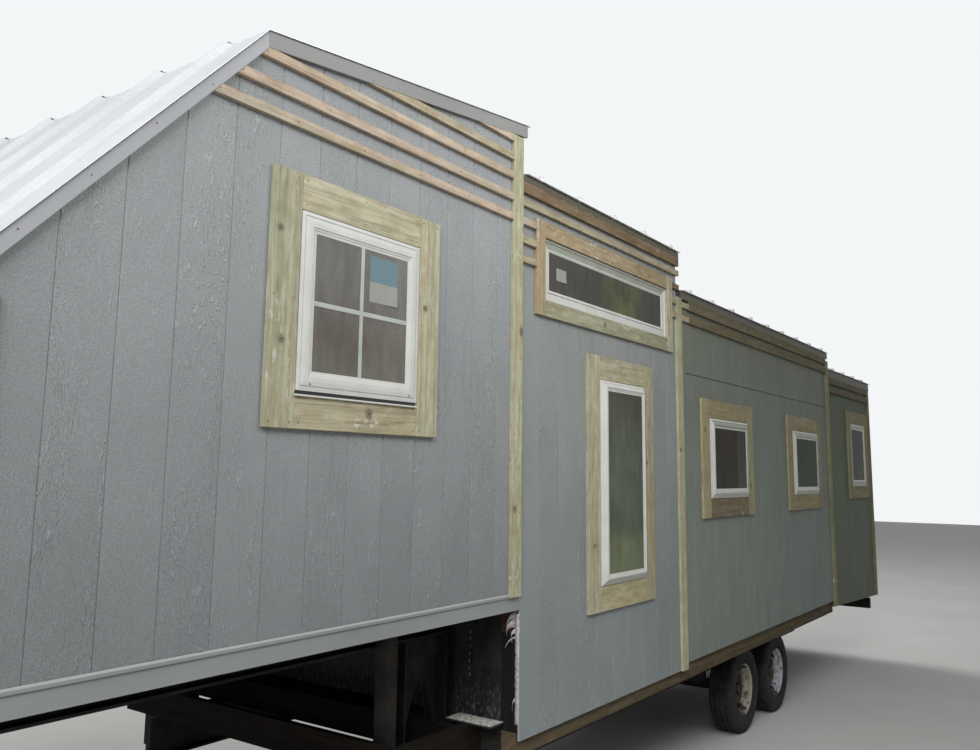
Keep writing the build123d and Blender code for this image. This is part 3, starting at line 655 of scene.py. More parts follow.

# Towards the rear the corner boards, trims and battens take darker, greener tones as painted shade.
TONES = {
    "corner_boards": (
        (0.04, 2.1, (0.45, 0.44, 0.34)), (2.65, 2.7, (0.395, 0.402, 0.292)),
        (4.72, 2.1, (0.42, 0.42, 0.30)), (8.61, 2.1, (0.25, 0.25, 0.16)),
        (10.46, 2.0, (0.20, 0.205, 0.13))),
    "window_trims": (
        (1.09, 2.77, GREENISH), (1.51, 2.35, (0.335, 0.315, 0.225)), (1.51, 3.19, PALE_PINE),
        (1.93, 2.77, (0.37, 0.37, 0.28)), (2.87, 3.23, ORANGE_PINE), (3.71, 3.45, ORANGE_PINE),
        (3.71, 3.02, GREENISH), (4.55, 3.23, (0.42, 0.40, 0.32)), (3.46, 2.08, PALE_PINE),
        (3.82, 2.75, PALE_PINE), (3.82, 1.41, (0.40, 0.37, 0.25)), (4.18, 2.08, (0.36, 0.34, 0.24)),
        (5.17, 2.25, (0.36, 0.325, 0.215)), (6.12, 2.25, (0.34, 0.325, 0.215)),
        (5.65, 1.88, (0.185, 0.155, 0.108)), (5.65, 2.62, (0.31, 0.27, 0.175)),
        (7.70, 2.25, (0.31, 0.285, 0.185)), (9.86, 2.38, (0.265, 0.25, 0.165))),
    "battens": (
        (1.67, 3.45, TAN), (1.72, 3.56, TAN), (1.77, 3.67, TAN), (2.06, 3.78, WHITISH),
        (2.45, 3.88, TAN), (2.76, 3.25, WHITISH), (2.76, 3.35, WHITISH), (2.76, 3.45, TAN),
        (3.71, 3.555, (0.32, 0.29, 0.215)), (3.71, 3.64, RED_BROWN), (4.63, 3.25, WHITISH),
        (4.63, 3.35, WHITISH), (4.66, 3.45, RED_BROWN), (4.83, 3.24, WHITISH),
        (4.83, 3.34, WHITISH), (6.73, 3.25, SHADED_BROWN), (6.73, 3.35, SHADED_BROWN),
        (9.53, 3.06, REAR_SHADED_BROWN), (9.53, 3.15, REAR_SHADED_BROWN)),
    "fascia_boards": (
        (0.45, 3.15, (0.33, 0.338, 0.35)), (1.85, 3.83, (0.225, 0.228, 0.222)),
        (3.7, 3.69, DEEP_BROWN), (6.7, 3.41, DEEP_BROWN), (9.6, 3.23, DEEP_BROWN)),
    "gooseneck_skirt": ((1.3, 1.49, (0.222, 0.234, 0.233)),),
    "rim_beams": ((5.6, 0.8, (0.104, 0.086, 0.058)),),
    "front_platform": ((2.4, 0.8, PAINTED_SHADE_BLACK),),
}


def tone_at(node, centre):
    """The listed colour nearest to a board's middle, a little lighter or darker by chance."""
    station = centre.x + HALF_LENGTH
    nearest = min(TONES[node], key=lambda row: abs(row[0] - station) + 2 * abs(row[1] - centre.z))
    shade = random.uniform(0.95, 1.05)
    return [channel * shade for channel in nearest[2]]


print("board colours for", len(TONES), "nodes")

# %% [markdown]
# One material could not say where a board's grain runs, so the mesh carries two maps. "grain" has
# u along the board and v across it, measured from the board's middle, and "tone" holds the
# board's own colour with a random seed in its alpha.

# %% Boards with a grain direction
def board_axis(group):
    """Direction of the longest edge of one board."""
    edges = {edge for face in group for edge in face.edges}
    first, last = (vert.co for vert in max(edges, key=lambda edge: edge.calc_length()).verts)
    axis = (last - first).normalized()
    return axis if axis.x + axis.z > 0 else -axis


def map_board(group, axis, tone, layers):
    """Write one board's grain map and tone."""
    centre = middle(group)
    shift = random.uniform(0, 40)
    seed = random.random()
    for face in group:
        across = face.normal.cross(axis)
        if across.length < 0.5:
            across = face.normal.orthogonal()
        across.normalize()
        length_way = axis if abs(axis.dot(face.normal)) < 0.5 else face.normal.cross(across)
        for loop in face.loops:
            place = loop.vert.co - centre
            loop[layers[0]].uv = (place.dot(length_way) + shift, place.dot(across))
            loop[layers[1]] = (*tone, seed)


def boards(name, node, material, ease=0.0014):
    """Copy a board node, ease its sharp edges, and map each board's grain and tone."""
    shape = clean_copy(node)
    axes = [(middle(group), board_axis(group)) for group in solids(shape)]
    bmesh.ops.bevel(shape, geom=list(shape.edges), offset=ease, segments=2, profile=0.6,
                    affect="EDGES", clamp_overlap=True)
    shape.normal_update()
    layers = (shape.loops.layers.uv.new("grain"), shape.loops.layers.float_color.new("tone"))
    for group in solids(shape):
        centre = middle(group)
        axis = min(axes, key=lambda known: (known[0] - centre).length)[1]
        map_board(group, axis, tone_at(node, centre), layers)
    return piece(name, shape, [material], stands_for=[node])


print("board maker ready")


# %% [markdown]
# The wood itself is built up in layers: the board's tone, long streaks, dark late-wood lines whose
# contours close into arches near the board's middle, stains, fine pores, and pale scuffs where the
# paint brush or another board rubbed. The big knots stand where the real boards have them. A knot
# is a place in space and a radius, so the shader takes the least distance to any of them.

# %% The wood finish
KNOTS = ((1.064, 3.020, 0.013), (1.090, 2.603, 0.014), (1.566, 2.357, 0.019), (1.905, 2.848, 0.013),
         (2.689, 2.850, 0.022), (2.632, 1.95, 0.013), (4.700, 2.30, 0.015), (4.150, 2.20, 0.012),
         (5.150, 2.46, 0.016), (6.110, 2.05, 0.015), (7.210, 2.30, 0.015), (3.460, 1.72, 0.012),
         (3.60, 3.02, 0.014))
BOARD_FACE = 1.289
BOARD_SPREAD = 40.0
ARCH_CURVE = 2600.0
RING_LINES = 46.0
SCUFF_COLOUR = (0.50, 0.49, 0.45)


def knot_distance(finish):
    """Distance to the nearest knot, in that knot's radii."""
    x, y, z = finish.split(finish.own)
    place = finish.join(x, finish.calc("ABSOLUTE", y), z)
    nearest = None
    for station, height, radius in KNOTS:
        gap = finish.measure("DISTANCE", place, (station - HALF_LENGTH, BOARD_FACE, height))
        away = finish.calc("DIVIDE", gap, radius)
        nearest = away if nearest is None else finish.calc("MINIMUM", nearest, away)
    return nearest


def board_tone(finish):
    tone = finish.tree.nodes.new("ShaderNodeVertexColor")
    tone.layer_name = "tone"
    return tone.outputs


def wood_finish(name, late_wood=0.30, streaks=0.16, scuffs=0.8, knotty=True, gloss=0.10):
    finish = Finish(name, gloss=gloss)
    tone = board_tone(finish)
    u, v = finish.split(finish.coords.outputs["UV"])[:2]
    place = finish.join(u, v, finish.times(tone["Alpha"], BOARD_SPREAD))

    def layer(along, across, detail=4.0, roughness=0.55):
        return finish.noise(1.0, detail, (along, across, 1), place, roughness)

    arch = finish.times(finish.times(v, v), ARCH_CURVE)
    level = finish.calc("ADD", finish.times(layer(0.9, 6.5, 2), RING_LINES), arch)
    line = finish.fade(finish.calc("SINE", level), 0.45, 0.98, late_wood)
    cloud = layer(1.8, 8)
    wood = finish.tinted(
        tone["Color"],
        finish.ramp(layer(1.3, 60), (0.28, 1 - streaks), (0.72, 1 + streaks)),
        finish.ramp(layer(0.35, 13, 2), (0.42, (0.92, 0.95, 0.91)), (0.50, (0.99, 0.99, 0.98)),
                    (0.58, (1.03, 1.01, 0.99))),
        finish.ramp(layer(9, 26, 4, 0.62), (0.36, (0.81, 0.80, 0.73)), (0.62, 1.05)),
        finish.ramp(layer(160, 420, 2), (0.34, 0.93), (0.66, 1.07)),
        finish.ramp(layer(3.5, 210, 2), (0.34, (0.80, 0.76, 0.70)), (0.44, 1.0)))
    wood = finish.mix(finish.fade(cloud, 0.42, 0.72, 0.6), wood, finish.tinted(wood, (1.02, 0.92, 0.83)))
    wood = finish.mix(line, wood, finish.tinted(wood, (0.62, 0.50, 0.40)))
    where = finish.fade(layer(2.3, 5), 0.52, 0.60, scuffs)
    rubbed = finish.fade(layer(22, 40, 3), 0.57, 0.68)
    wood = finish.mix(finish.times(rubbed, where), wood, SCUFF_COLOUR)
    if knotty:
        away = finish.times(knot_distance(finish), 0.5)
        eye = finish.ramp(away, (0.0, (0.05, 0.042, 0.034)), (0.16, (0.085, 0.07, 0.052)),
                          (0.36, (0.22, 0.19, 0.14)), (0.46, (0.055, 0.045, 0.035)))
        wood = finish.mix(finish.ramp(away, (0.46, 0.88), (0.54, 0.22), (1.0, 0.0)), wood, eye)
    finish.paint(wood)
    finish.rough(cloud, 0.67, 0.85)
    pores = finish.bump(layer(30, 650, 2), 0.35, 0.0006)
    finish.bump(line, 0.25, 0.0008, under=pores)
    return finish.material


TREATED = wood_finish("treated_pine")
FURRING = wood_finish("sawn_furring", late_wood=0.2, streaks=0.12, scuffs=0.3, knotty=False)
WEATHERED = wood_finish("weathered_timber", late_wood=0.1, streaks=0.25, scuffs=0.0, knotty=False,
                        gloss=0.03)
print("wood finishes", TREATED.name, FURRING.name, WEATHERED.name)

# %% [markdown]
# The boards could be drawn anew, but their places are already right in the frame. So each node is
# copied, its sharp edges are eased, a little more on the heavy timbers, and the copy stands for it.

# %% Fit the raw boards
boards("corner_and_divider_boards", "corner_boards", TREATED)
boards("window_trim_boards", "window_trims", TREATED)
boards("furring_battens", "battens", FURRING)
boards("rim_timbers", "rim_beams", WEATHERED, ease=0.004)
boards("platform_timbers", "front_platform", WEATHERED, ease=0.003)


# %% [markdown]
# ## Painted boards
# The fascia and the skirt are boards too. On the front roofs and the skirt they carry the siding's
# paint, and under the lower roofs the fascia is much darker, which its tones say. They reuse the
# board maker with a paint whose bump follows the board's own map. The drip strip on top of the
# skirt is paler, partly its own colour and partly a painted highlight on its lip, and the skirt is
# drawn out until it meets the wall behind it.

# %% Painted fascia and skirt
# The drip strip's pale lip: partly its own colour, partly a painted highlight.
STRIP_PAINT_AND_HIGHLIGHT = (0.40, 0.41, 0.41)
STRIP_LIP = 1.528
STRIP_PROUD = 0.0005


def board_paint(name, strip=False):
    finish = Finish(name, gloss=0.12)
    grain = finish.noise(1.0, 4, (6, 160, 1), finish.coords.outputs["UV"])
    cloud = finish.noise(1.0, 4, (1.5, 5, 1), finish.coords.outputs["UV"])
    colour = finish.tinted(board_tone(finish)["Color"], finish.ramp(cloud, (0.3, 0.90), (0.75, 1.08)))
    if strip:
        y, z = finish.split(finish.own)[1:]
        outside = finish.calc("GREATER_THAN", finish.calc("ABSOLUTE", y), WALL_FACE + STRIP_PROUD)
        proud = finish.times(outside, finish.calc("GREATER_THAN", z, STRIP_LIP))
        colour = finish.mix(proud, colour, STRIP_PAINT_AND_HIGHLIGHT)
    finish.paint(colour)
    finish.rough(cloud, 0.42, 0.6)
    finish.bump(grain, 0.3, 0.0007)
    return finish.material


boards("fascia", "fascia_boards", board_paint("board_paint"))
skirt = boards("skirt_and_drip_strip", "gooseneck_skirt", board_paint("skirt_paint", strip=True))
SKIRT_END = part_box("gooseneck_skirt")[1].x
WALL_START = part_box("left_wall_front")[0].x
END_GAP = 0.001
for corner in skirt.data.vertices:
    if corner.co.x > SKIRT_END - 0.01:
        corner.co.x += WALL_START - END_GAP - SKIRT_END


# %% [markdown]
# ## Nails
# Boards are held by nails in pairs, and their heads show as dark dots. Dots in the shader would
# do from afar; small domes also hold up close. A dome is two rings and a cap, so a few hundred
# of them cost little. Places come from the boards' own boxes.

# %% Nail heads
NAIL = (0.0036, 0.0009, 8)
NAIL_EDGE = 0.022
STUD_SPACING = 0.4064
RAKE_NAILS = ((0.125, 2.788), (0.326, 3.005), (0.530, 3.240), (0.735, 3.452))
HEAD_ROOT = -0.0004
HEAD_CAP = 0.72


def head(shape, centre, out, radius, proud, sides):
    """Add a flat-topped dome that stands on a surface, from its radius, height and sides."""
    across = out.orthogonal().normalized()
    other = out.cross(across)
    turns = [math.tau * step / sides for step in range(sides)]
    rings = [[shape.verts.new(centre + (across * math.cos(a) + other * math.sin(a)) * reach + out * lift)
              for a in turns]
             for reach, lift in ((radius, HEAD_ROOT), (radius, proud * 0.5), (radius * HEAD_CAP, proud))]
    bridge(shape, rings[0], rings[1])
    bridge(shape, rings[1], rings[2])
    shape.faces.new(rings[2])
    shape.faces.new(list(reversed(rings[0])))


def nail_places(node):
    """Pairs of nails at a board's ends and at the studs between."""
    for low, high in boxes(node):
        face = low.y if low.y < 0 else high.y
        upright = high.z - low.z > high.x - low.x
        first, last = (low.z, high.z) if upright else (low.x, high.x)
        near, far = (low.x, high.x) if upright else (low.z, high.z)
        wide = far - near > 3 * NAIL_EDGE
        rows = (near + NAIL_EDGE, far - NAIL_EDGE) if wide else ((near + far) / 2,)
        steps = max(1, round((last - first) / STUD_SPACING))
        for step in range(steps + 1):
            along = first + NAIL_EDGE + (last - first - 2 * NAIL_EDGE) * step / steps
            for row in rows:
                yield Vector((row, face, along)) if upright else Vector((along, face, row))


def nails():
    shape = bmesh.new()
    places = [place for node in ("window_trims", "battens", "corner_boards") for place in nail_places(node)]
    for side in (-1, 1):
        places += [Vector((station - HALF_LENGTH, side * BOARD_FACE, height))
                   for station, height in RAKE_NAILS]
    for place in places:
        head(shape, place, -Y if place.y < 0 else Y, *NAIL)
    steel = mottled("nail_heads", (0.13, 0.12, 0.11), (0.10, 0.055, 0.03), 60, span=(0.4, 0.7),
                    rough=(0.35, 0.7), metallic=0.6)
    closed_piece("board_nails", shape, steel)


nails()


# %% [markdown]
# ## Metal roofing
# The roofs are ribbed steel sheets with a zinc coat. The ribs are already in the frame, since
# they are real shapes. What is left is the finish, pale weathered zinc with a soft spangle. The
# gooseneck's sheets are older, and the bent trims are duller.

# %% The zinc finish
def zinc_finish(name, dull, bright):
    finish = Finish(name, metallic=0.2)
    spangle = finish.node("ShaderNodeTexVoronoi", Scale=70.0)
    finish.feed(finish.own, spangle.inputs["Vector"])
    cloud = finish.noise(2.2, 5)
    finish.paint(finish.tinted(finish.ramp(cloud, (0.3, dull), (0.75, bright)),
                               finish.ramp(spangle.outputs["Color"], (0.0, 0.95), (1.0, 1.03))))
    finish.rough(cloud, 0.34, 0.52)
    return finish.material


OLD_ZINC = zinc_finish("weathered_zinc", (0.54, 0.56, 0.59), (0.65, 0.665, 0.68))
NEW_ZINC = zinc_finish("bright_zinc", (0.63, 0.64, 0.65), (0.72, 0.73, 0.74))
TRIM_ZINC = zinc_finish("dull_zinc_trim", (0.52, 0.54, 0.57), (0.62, 0.64, 0.67))
NOSE_SHEETS = "gooseneck_roof_sheets"
RIB_LINES = {"front_roof_sheets": (2.857, 0.428), "middle_roof_sheets": (4.902, 0.437),
             "rear_roof_sheets": (8.836, 0.437)}
dress(NOSE_SHEETS, OLD_ZINC)
for node in RIB_LINES:
    dress(node, NEW_ZINC)
dress("roof_flashings", TRIM_ZINC)
print("zinc on", len(RIB_LINES) + 1, "roofs")

# %% [markdown]
# Painted dots would vanish on the slopes, so the screws are small domes on flat washers. Their
# places follow the ribs, and a ray dropped on the sheet gives each screw the height and the slope
# of the metal under it.

# %% Roof screws
NOSE_RIB_LINES = (-1.041, 0.438)
BESIDE_RIB = 0.062
NOSE_ROWS = (0.10, 0.36, 0.66, 0.90, 1.25, 1.85, 2.45)
GABLE_ROWS = (0.25, 0.62, 0.98)
SHEET_EDGE = 0.03
WASHER = (0.0065, 0.0012, 12)
SCREW = (0.003575, 0.004, 6)
HIGH_UP = 6


def steps_along(first, pitch, end):
    """Evenly spaced values from the first one to just before the end."""
    while first < end:
        yield first
        first += pitch


def sheet_below(node):
    """A search tree over a node's faces, on which rays can be dropped."""
    sheet = clean_copy(node)
    tree = BVHTree.FromBMesh(sheet)
    sheet.free()
    return tree


def screw_columns(node):
    """Places, seen from above, where a sheet is screwed down."""
    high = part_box(node)[1]
    if node == NOSE_SHEETS:
        first, pitch = NOSE_RIB_LINES
        across = list(steps_along(first + BESIDE_RIB, pitch, high.y - SHEET_EDGE))
        return [(row - HALF_LENGTH, y) for row in NOSE_ROWS for y in across]
    first, pitch = RIB_LINES[node]
    along = steps_along(first + BESIDE_RIB - HALF_LENGTH, pitch, high.x - SHEET_EDGE)
    return [(x, side * row) for x in along for row in GABLE_ROWS for side in (-1, 1)]


def roof_screws():
    shape = bmesh.new()
    for node in (NOSE_SHEETS, *RIB_LINES):
        tree = sheet_below(node)
        for x, y in screw_columns(node):
            spot, normal = tree.ray_cast(Vector((x, y, HIGH_UP)), -Z)[:2]
            if spot is not None:
                head(shape, spot, normal, *WASHER)
                head(shape, spot, normal, *SCREW)
    steel = mottled("screw_heads", (0.34, 0.34, 0.35), (0.20, 0.20, 0.20), 90, span=(0.4, 0.7),
                    rough=(0.3, 0.6), metallic=0.7)
    closed_piece("roof_screws", shape, steel)


roof_screws()


# %% [markdown]
# Where a rib ends at the eave, its hollow is stopped with a white foam plug. The plugs catch the
# light and show from below as a row of white spots along the roof's edge. Each is a short block
# with the rib's section, set just inside the sheet's edge.

# %% Rib plugs
PLUG_SECTION = ((-0.0195, 0), (0.0195, 0), (0.0105, 0.0205), (-0.0105, 0.0205))
PLUG_DROP = 0.0012
PLUG_REACH = (1.3035, 1.280)
BESIDE_PLUG = 0.035


def rib_plugs():
    shape = bmesh.new()
    for node, (first, pitch) in RIB_LINES.items():
        tree = sheet_below(node)
        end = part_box(node)[1].x - BESIDE_PLUG
        for x in steps_along(first - HALF_LENGTH, pitch, end):
            for side in (-1, 1):
                rings = []
                for reach in PLUG_REACH:
                    spot = tree.ray_cast(Vector((x + BESIDE_PLUG, side * reach, HIGH_UP)), -Z)[0]
                    rings.append([shape.verts.new((x + over, side * reach, spot.z - PLUG_DROP + up))
                                  for over, up in PLUG_SECTION])
                bridge(shape, *rings)
                shape.faces.new(rings[0])
                shape.faces.new(rings[1])
    foam = mottled("white_foam", (0.74, 0.74, 0.72), (0.86, 0.86, 0.84), 300, bump=(0.3, 0.0005),
                   roughness=0.8)
    closed_piece("rib_end_plugs", shape, foam)


rib_plugs()


# %% [markdown]
# ## Sheathing, felt and steel
# Floors and roof decks show only their edges and undersides. The floors are sheathing painted
# nearly black, as painted shade under the house, and the roof decks are dark brown. The lower front
# wall is wrapped in black felt, creased, and dusty at its foot. The trailer is dull black steel
# with patches of brown dust. Each gets a short recipe of its own rather than one shared grey,
# because their gloss differs more than their colour.

# %% Plain finishes
def sheathing_finish(name, low, high):
    return mottled(name, low, high, 1.5, stretch=(2, 2, 60), rough=(0.75, 0.95), bump=(0.2, 0.001),
                   gloss=0.1)


def felt_finish():
    finish = Finish("black_felt", gloss=0.15)
    creases = finish.noise(5, 6, (1, 1, 0.5), distortion=0.8)
    black = finish.ramp(creases, (0.35, (0.009, 0.010, 0.012)), (0.8, (0.032, 0.033, 0.038)))
    z = finish.split(finish.own)[2]
    dust = finish.fade(finish.noise(45, 6, (1, 1.6, 0.6), roughness=0.7), 0.50, 0.66)
    foot = finish.ramp(finish.times(z, 0.5), (0.45, 0.8), (0.54, 0.25), (0.64, 0.0))
    finish.paint(finish.mix(finish.times(dust, foot), black, (0.16, 0.15, 0.13)))
    finish.rough(creases, 0.38, 0.62)
    grit = finish.bump(finish.noise(420, 2), 0.3, 0.0005)
    finish.bump(creases, 0.8, 0.012, under=grit)
    return finish.material


STEEL = mottled("dull_black_steel", (0.014, 0.014, 0.015), (0.050, 0.042, 0.034), 4.5, 6,
                span=(0.45, 0.8), rough=(0.45, 0.8), bump=(0.1, 0.001), gloss=0.10)
# The floor's near-black is painted shade under the house.
FLOOR = sheathing_finish("shaded_floor_sheathing", (0.012, 0.011, 0.010), (0.026, 0.023, 0.020))
dress("roof_decks", sheathing_finish("roof_sheathing", (0.055, 0.046, 0.036), (0.10, 0.082, 0.062)))
dress("main_floor", FLOOR)
dress("gooseneck_floor", FLOOR)
dress("lower_front_wall", felt_finish())
for node in ("main_rails", "crossmembers", "neck_beams", "neck_risers", "coupler", "landing_jacks", "axles",
             "leaf_springs"):
    dress(node, STEEL)
print("plain finishes done")


# %% [markdown]
# The felt is stapled along its laps, and the staples show as a dashed pale line. Each is a thin
# block, a little askew by chance: a painted line would vanish from the side.

# %% Staples
FELT_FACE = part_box("lower_front_wall")[0].x
STAPLE_SIZE = (0.0014, 0.0024, 0.014)
STAPLE_PROUD = 0.0004
STAPLE_STEP = 0.036
STAPLE_ROWS = (1.10, 1.34)
STAPLE_COLUMNS = (-0.962, -0.352, 0.258, 0.868)


def staples():
    shape = bmesh.new()
    for column in STAPLE_COLUMNS:
        height = STAPLE_ROWS[0]
        while height < STAPLE_ROWS[1]:
            centre = Vector((FELT_FACE - STAPLE_PROUD, column + random.uniform(-0.004, 0.004), height))
            made = bmesh.ops.create_cube(shape, size=1)["verts"]
            bmesh.ops.scale(shape, vec=STAPLE_SIZE, verts=made)
            bmesh.ops.rotate(shape, verts=made, matrix=Quaternion(X, random.uniform(-0.3, 0.3)).to_matrix())
            bmesh.ops.translate(shape, vec=centre, verts=made)
            height += STAPLE_STEP * random.uniform(0.85, 1.15)
    wire = mottled("staple_wire", (0.66, 0.66, 0.66), (0.45, 0.44, 0.42), 120, span=(0.4, 0.7),
                   roughness=0.35, metallic=0.6)
    piece("felt_staples", shape, [wire])


staples()

# %% [markdown]
# Where the wall ends beside the felt, a strip of white wrap is torn off and curls. Cloth physics
# could curl it; ribbons bent along arcs do it more simply, and always in the same way.

# %% Torn wrap
WRAP_THICKNESS = 0.0006
WRAP_MIDDLE = -1.256
WRAP_HEIGHTS = [0.90 + 0.0115 * step for step in range(47)]
CURL_START = -1.250
CURL_DROP = 0.05
CURL_TAPER = 0.75
WRAP_CURLS = ((1.425, 0.060, 1.9, 0.040), (1.385, 0.075, 2.4, 0.050), (1.345, 0.050, 3.0, 0.028),
              (1.315, 0.062, 1.5, 0.012), (1.02, 0.030, 2.6, 0.020))
CURL_STEPS = 12


def ribbon(shape, spine, width_way, widths):
    """A thin strip whose middle line follows the spine's points."""
    rows = [(shape.verts.new(spot - width_way * width / 2), shape.verts.new(spot + width_way * width / 2))
            for spot, width in zip(spine, widths)]
    for (a, b), (c, d) in zip(rows, rows[1:]):
        shape.faces.new((a, b, d, c))


def thickened(made, thickness):
    made.modifiers.new("thickness", "SOLIDIFY").thickness = thickness


def torn_wrap():
    shape = bmesh.new()
    spine = [Vector((WALL_START - 0.0015 - 0.003 * random.random(),
                     WRAP_MIDDLE + random.uniform(-0.001, 0.001), z)) for z in WRAP_HEIGHTS]
    ribbon(shape, spine, Y, [random.uniform(0.021, 0.026) for z in WRAP_HEIGHTS])
    for start, reach, turn, width in WRAP_CURLS:
        radius = reach / turn
        steps = [step / CURL_STEPS for step in range(CURL_STEPS + 1)]
        curl = [Vector((WALL_START - 0.002 - radius * (1 - math.cos(turn * t)),
                        CURL_START + radius * math.sin(turn * t), start - CURL_DROP * t * t))
                for t in steps]
        ribbon(shape, curl, Z, [width * (1 - CURL_TAPER * t) for t in steps])
    paper = mottled("torn_white_wrap", (0.26, 0.25, 0.255), (0.50, 0.485, 0.485), 90, span=(0.35, 0.65),
                    bump=(0.4, 0.001), roughness=0.55)
    thickened(piece("torn_wrap", shape, [paper], smooth=True), WRAP_THICKNESS)


torn_wrap()


# %% [markdown]
# A short loose board lies across the platform's side joist at the foot of the felt. Its edges
# are dark and its top is pale with dust. The top is a small grid whose corners lift at random,
# since dust that lies in heaps is never flat.

# %% The dusty ledge
LEDGE = ((2.594, 2.709), (-1.180, -0.905))
LEDGE_LEVELS = (0.8955, 0.9045)
LEDGE_STEPS = {"x_segments": 9, "y_segments": 26}
LEDGE_LIP = 0.0008
DUST_HEAP = 0.003


def ledge():
    shape = bmesh.new()
    (x0, x1), (y0, y1) = LEDGE
    for vert in bmesh.ops.create_grid(shape, size=0.5, **LEDGE_STEPS)["verts"]:
        edge = max(abs(vert.co.x), abs(vert.co.y)) > 0.499
        heap = 0.0 if edge else random.uniform(0.0, DUST_HEAP)
        vert.co = Vector((x0 + (vert.co.x + 0.5) * (x1 - x0) - HALF_LENGTH,
                          y0 + (vert.co.y + 0.5) * (y1 - y0), LEDGE_LEVELS[1] + heap))
    for part in bmesh.ops.extrude_face_region(shape, geom=list(shape.faces))["geom"]:
        if isinstance(part, bmesh.types.BMVert):
            part.co.z = LEDGE_LEVELS[0]
    finish = Finish("dusty_board", roughness=0.95)
    dust = finish.noise(55, 6)
    top = finish.calc("GREATER_THAN", finish.split(finish.own)[2], LEDGE_LEVELS[1] - LEDGE_LIP)
    pale = finish.ramp(dust, (0.38, (0.20, 0.19, 0.165)), (0.52, (0.42, 0.41, 0.37)),
                       (0.64, (0.52, 0.51, 0.47)))
    finish.paint(finish.mix(top, (0.022, 0.025, 0.028), pale))
    finish.bump(dust, 0.4, 0.001)
    closed_piece("dusty_ledge_board", shape, finish.material)


ledge()


# %% [markdown]
# ## Glass and vinyl
# Each pane is a dull dark mirror, and what a window would show is painted on it. That changes along
# the house, so the glass takes a tone for each stretch of wall and a ramp over its height: paler low
# down as painted reflection, dark where the room is as painted shade, and a green patch in the long
# high window as a painted reflection of leaves. A clear pane with a room behind it would be truer,
# but the room is empty and there is nothing outside to mirror. A film of dust and fine specks lies
# over everything. The vinyl is white, and on some sides of the frames it is painted darker and
# greener as painted shade.

# %% Vinyl and glass
# Painted reflection and painted shade: a glass tone for each stretch of the house.
GLASS_REFLECTION_ZONES = ((0.0, (0.160, 0.148, 0.132)), (0.27, (0.092, 0.093, 0.074)),
               (0.46, (0.040, 0.031, 0.022)), (0.5505, (0.060, 0.056, 0.050)),
               (0.62, (0.034, 0.042, 0.027)), (0.86, (0.030, 0.033, 0.022)))
# Painted reflection and shade over the height of the panes.
GLASS_REFLECTION_HEIGHTS = ((0.38, (1.85, 2.10, 1.60)), (0.432, (1.75, 1.98, 1.50)), (0.450, (1.36, 1.54, 1.42)),
                 (0.51, (1.24, 1.40, 1.34)), (0.60, (1.12, 1.22, 1.20)), (0.66, (0.92, 0.90, 0.86)),
                 (0.71, (1.10, 1.15, 1.22)), (0.762, (1.10, 1.15, 1.22)), (0.770, (0.90, 0.86, 0.96)))
# A patch of painted reflection of leaves in the long high window.
LEAF_REFLECTION_CENTRE = -1.375
LEAF_REFLECTION_SPAN = (0.115, 0.295)
LEAF_REFLECTION_FOOT = 3.0


def glass_finish():
    """Dull dark glass whose painted reflection and painted shade change along the house and over its
    height.
    """
    finish = Finish("window_glass", gloss=0.01)
    finish.settle(finish.shader, Transmission_Weight=0.15, IOR=1.2)
    x, y, z = finish.split(finish.own)
    station = finish.calc("DIVIDE", finish.calc("ADD", x, HALF_LENGTH), 2 * HALF_LENGTH)
    zone = finish.ramp(station, *GLASS_REFLECTION_ZONES)
    zone.node.color_ramp.interpolation = "CONSTANT"
    film = finish.noise(3, 5, (1, 1, 0.6))
    beyond = finish.calc("ABSOLUTE", finish.less(x, LEAF_REFLECTION_CENTRE))
    inside = finish.times(finish.ramp(beyond, (LEAF_REFLECTION_SPAN[0], 1.0), (LEAF_REFLECTION_SPAN[1], 0.0)),
                          finish.calc("GREATER_THAN", z, LEAF_REFLECTION_FOOT))
    green = finish.ramp(finish.noise(4.5, 6, (1, 1, 0.8)), (0.38, (1.0, 1.0, 0.85)),
                        (0.60, (1.55, 1.72, 0.95)))
    finish.paint(finish.tinted(
        zone, finish.ramp(finish.times(z, 0.25), *GLASS_REFLECTION_HEIGHTS),
        finish.ramp(film, (0.35, 0.86), (0.68, 1.14)),
        finish.ramp(finish.noise(190, 2), (0.3, 0.90), (0.7, 1.10)),
        finish.mix(inside, (1.0, 1.0, 1.0), green),
        finish.ramp(finish.noise(22, 5, (1, 1, 0.3)), (0.35, (0.90, 0.90, 0.92)),
                    (0.65, (1.10, 1.10, 1.08)))))
    finish.rough(film, 0.03, 0.10)
    return finish.material


def vinyl_finish(name, dull, bright):
    return mottled(name, dull, bright, 9, rough=(0.30, 0.46), gloss=0.15)


VINYL = vinyl_finish("white_vinyl", (0.47, 0.475, 0.445), (0.54, 0.54, 0.51))
# Painted shade: a darker, greener vinyl for recessed heads and sides of the frames.
SHADED_VINYL = vinyl_finish("shaded_vinyl", (0.225, 0.240, 0.190), (0.285, 0.295, 0.240))
dress("window_glass", glass_finish())
print("vinyl and glass ready")


# %% [markdown]
# ## Window frames
# Each window is a white vinyl unit: an outer frame whose bevelled face rises towards the glass, a
# dark line where two mouldings meet, and a bead that drops to the pane, with mitred corners. The
# long high window has a flat frame with a wide channel instead. Drawing every step as a box would
# leave butt joints, so the profile is a list of how far in and how far out each edge lies, swept
# round the opening. The units differ in width and in how far they stand out, so both are read
# from the frame's own solids and panes.

# %% Sweep the window frames
BEVEL_REACH = 0.040
FRAME_BACK = -0.070
JOINT_LINE = 0.003
GAP_WIDTH = 0.0035
GAP_DEPTH = 0.014
# Where the painted shade starts and stops across a frame's face.
SHADE_START = 0.012
SHADE_END = 0.015
FLAT_FRONT = 0.010
CHANNEL_DEPTH = 0.007
HEAD_SIDE = 2
# Sides of each frame that take the painted shade, by distance from the nose.
SHADED_SIDES = ((0.0, ()), (2.8, (HEAD_SIDE,)), (3.4, ()), (5.0, (1, 2)), (9.0, (0, 2, 3)))


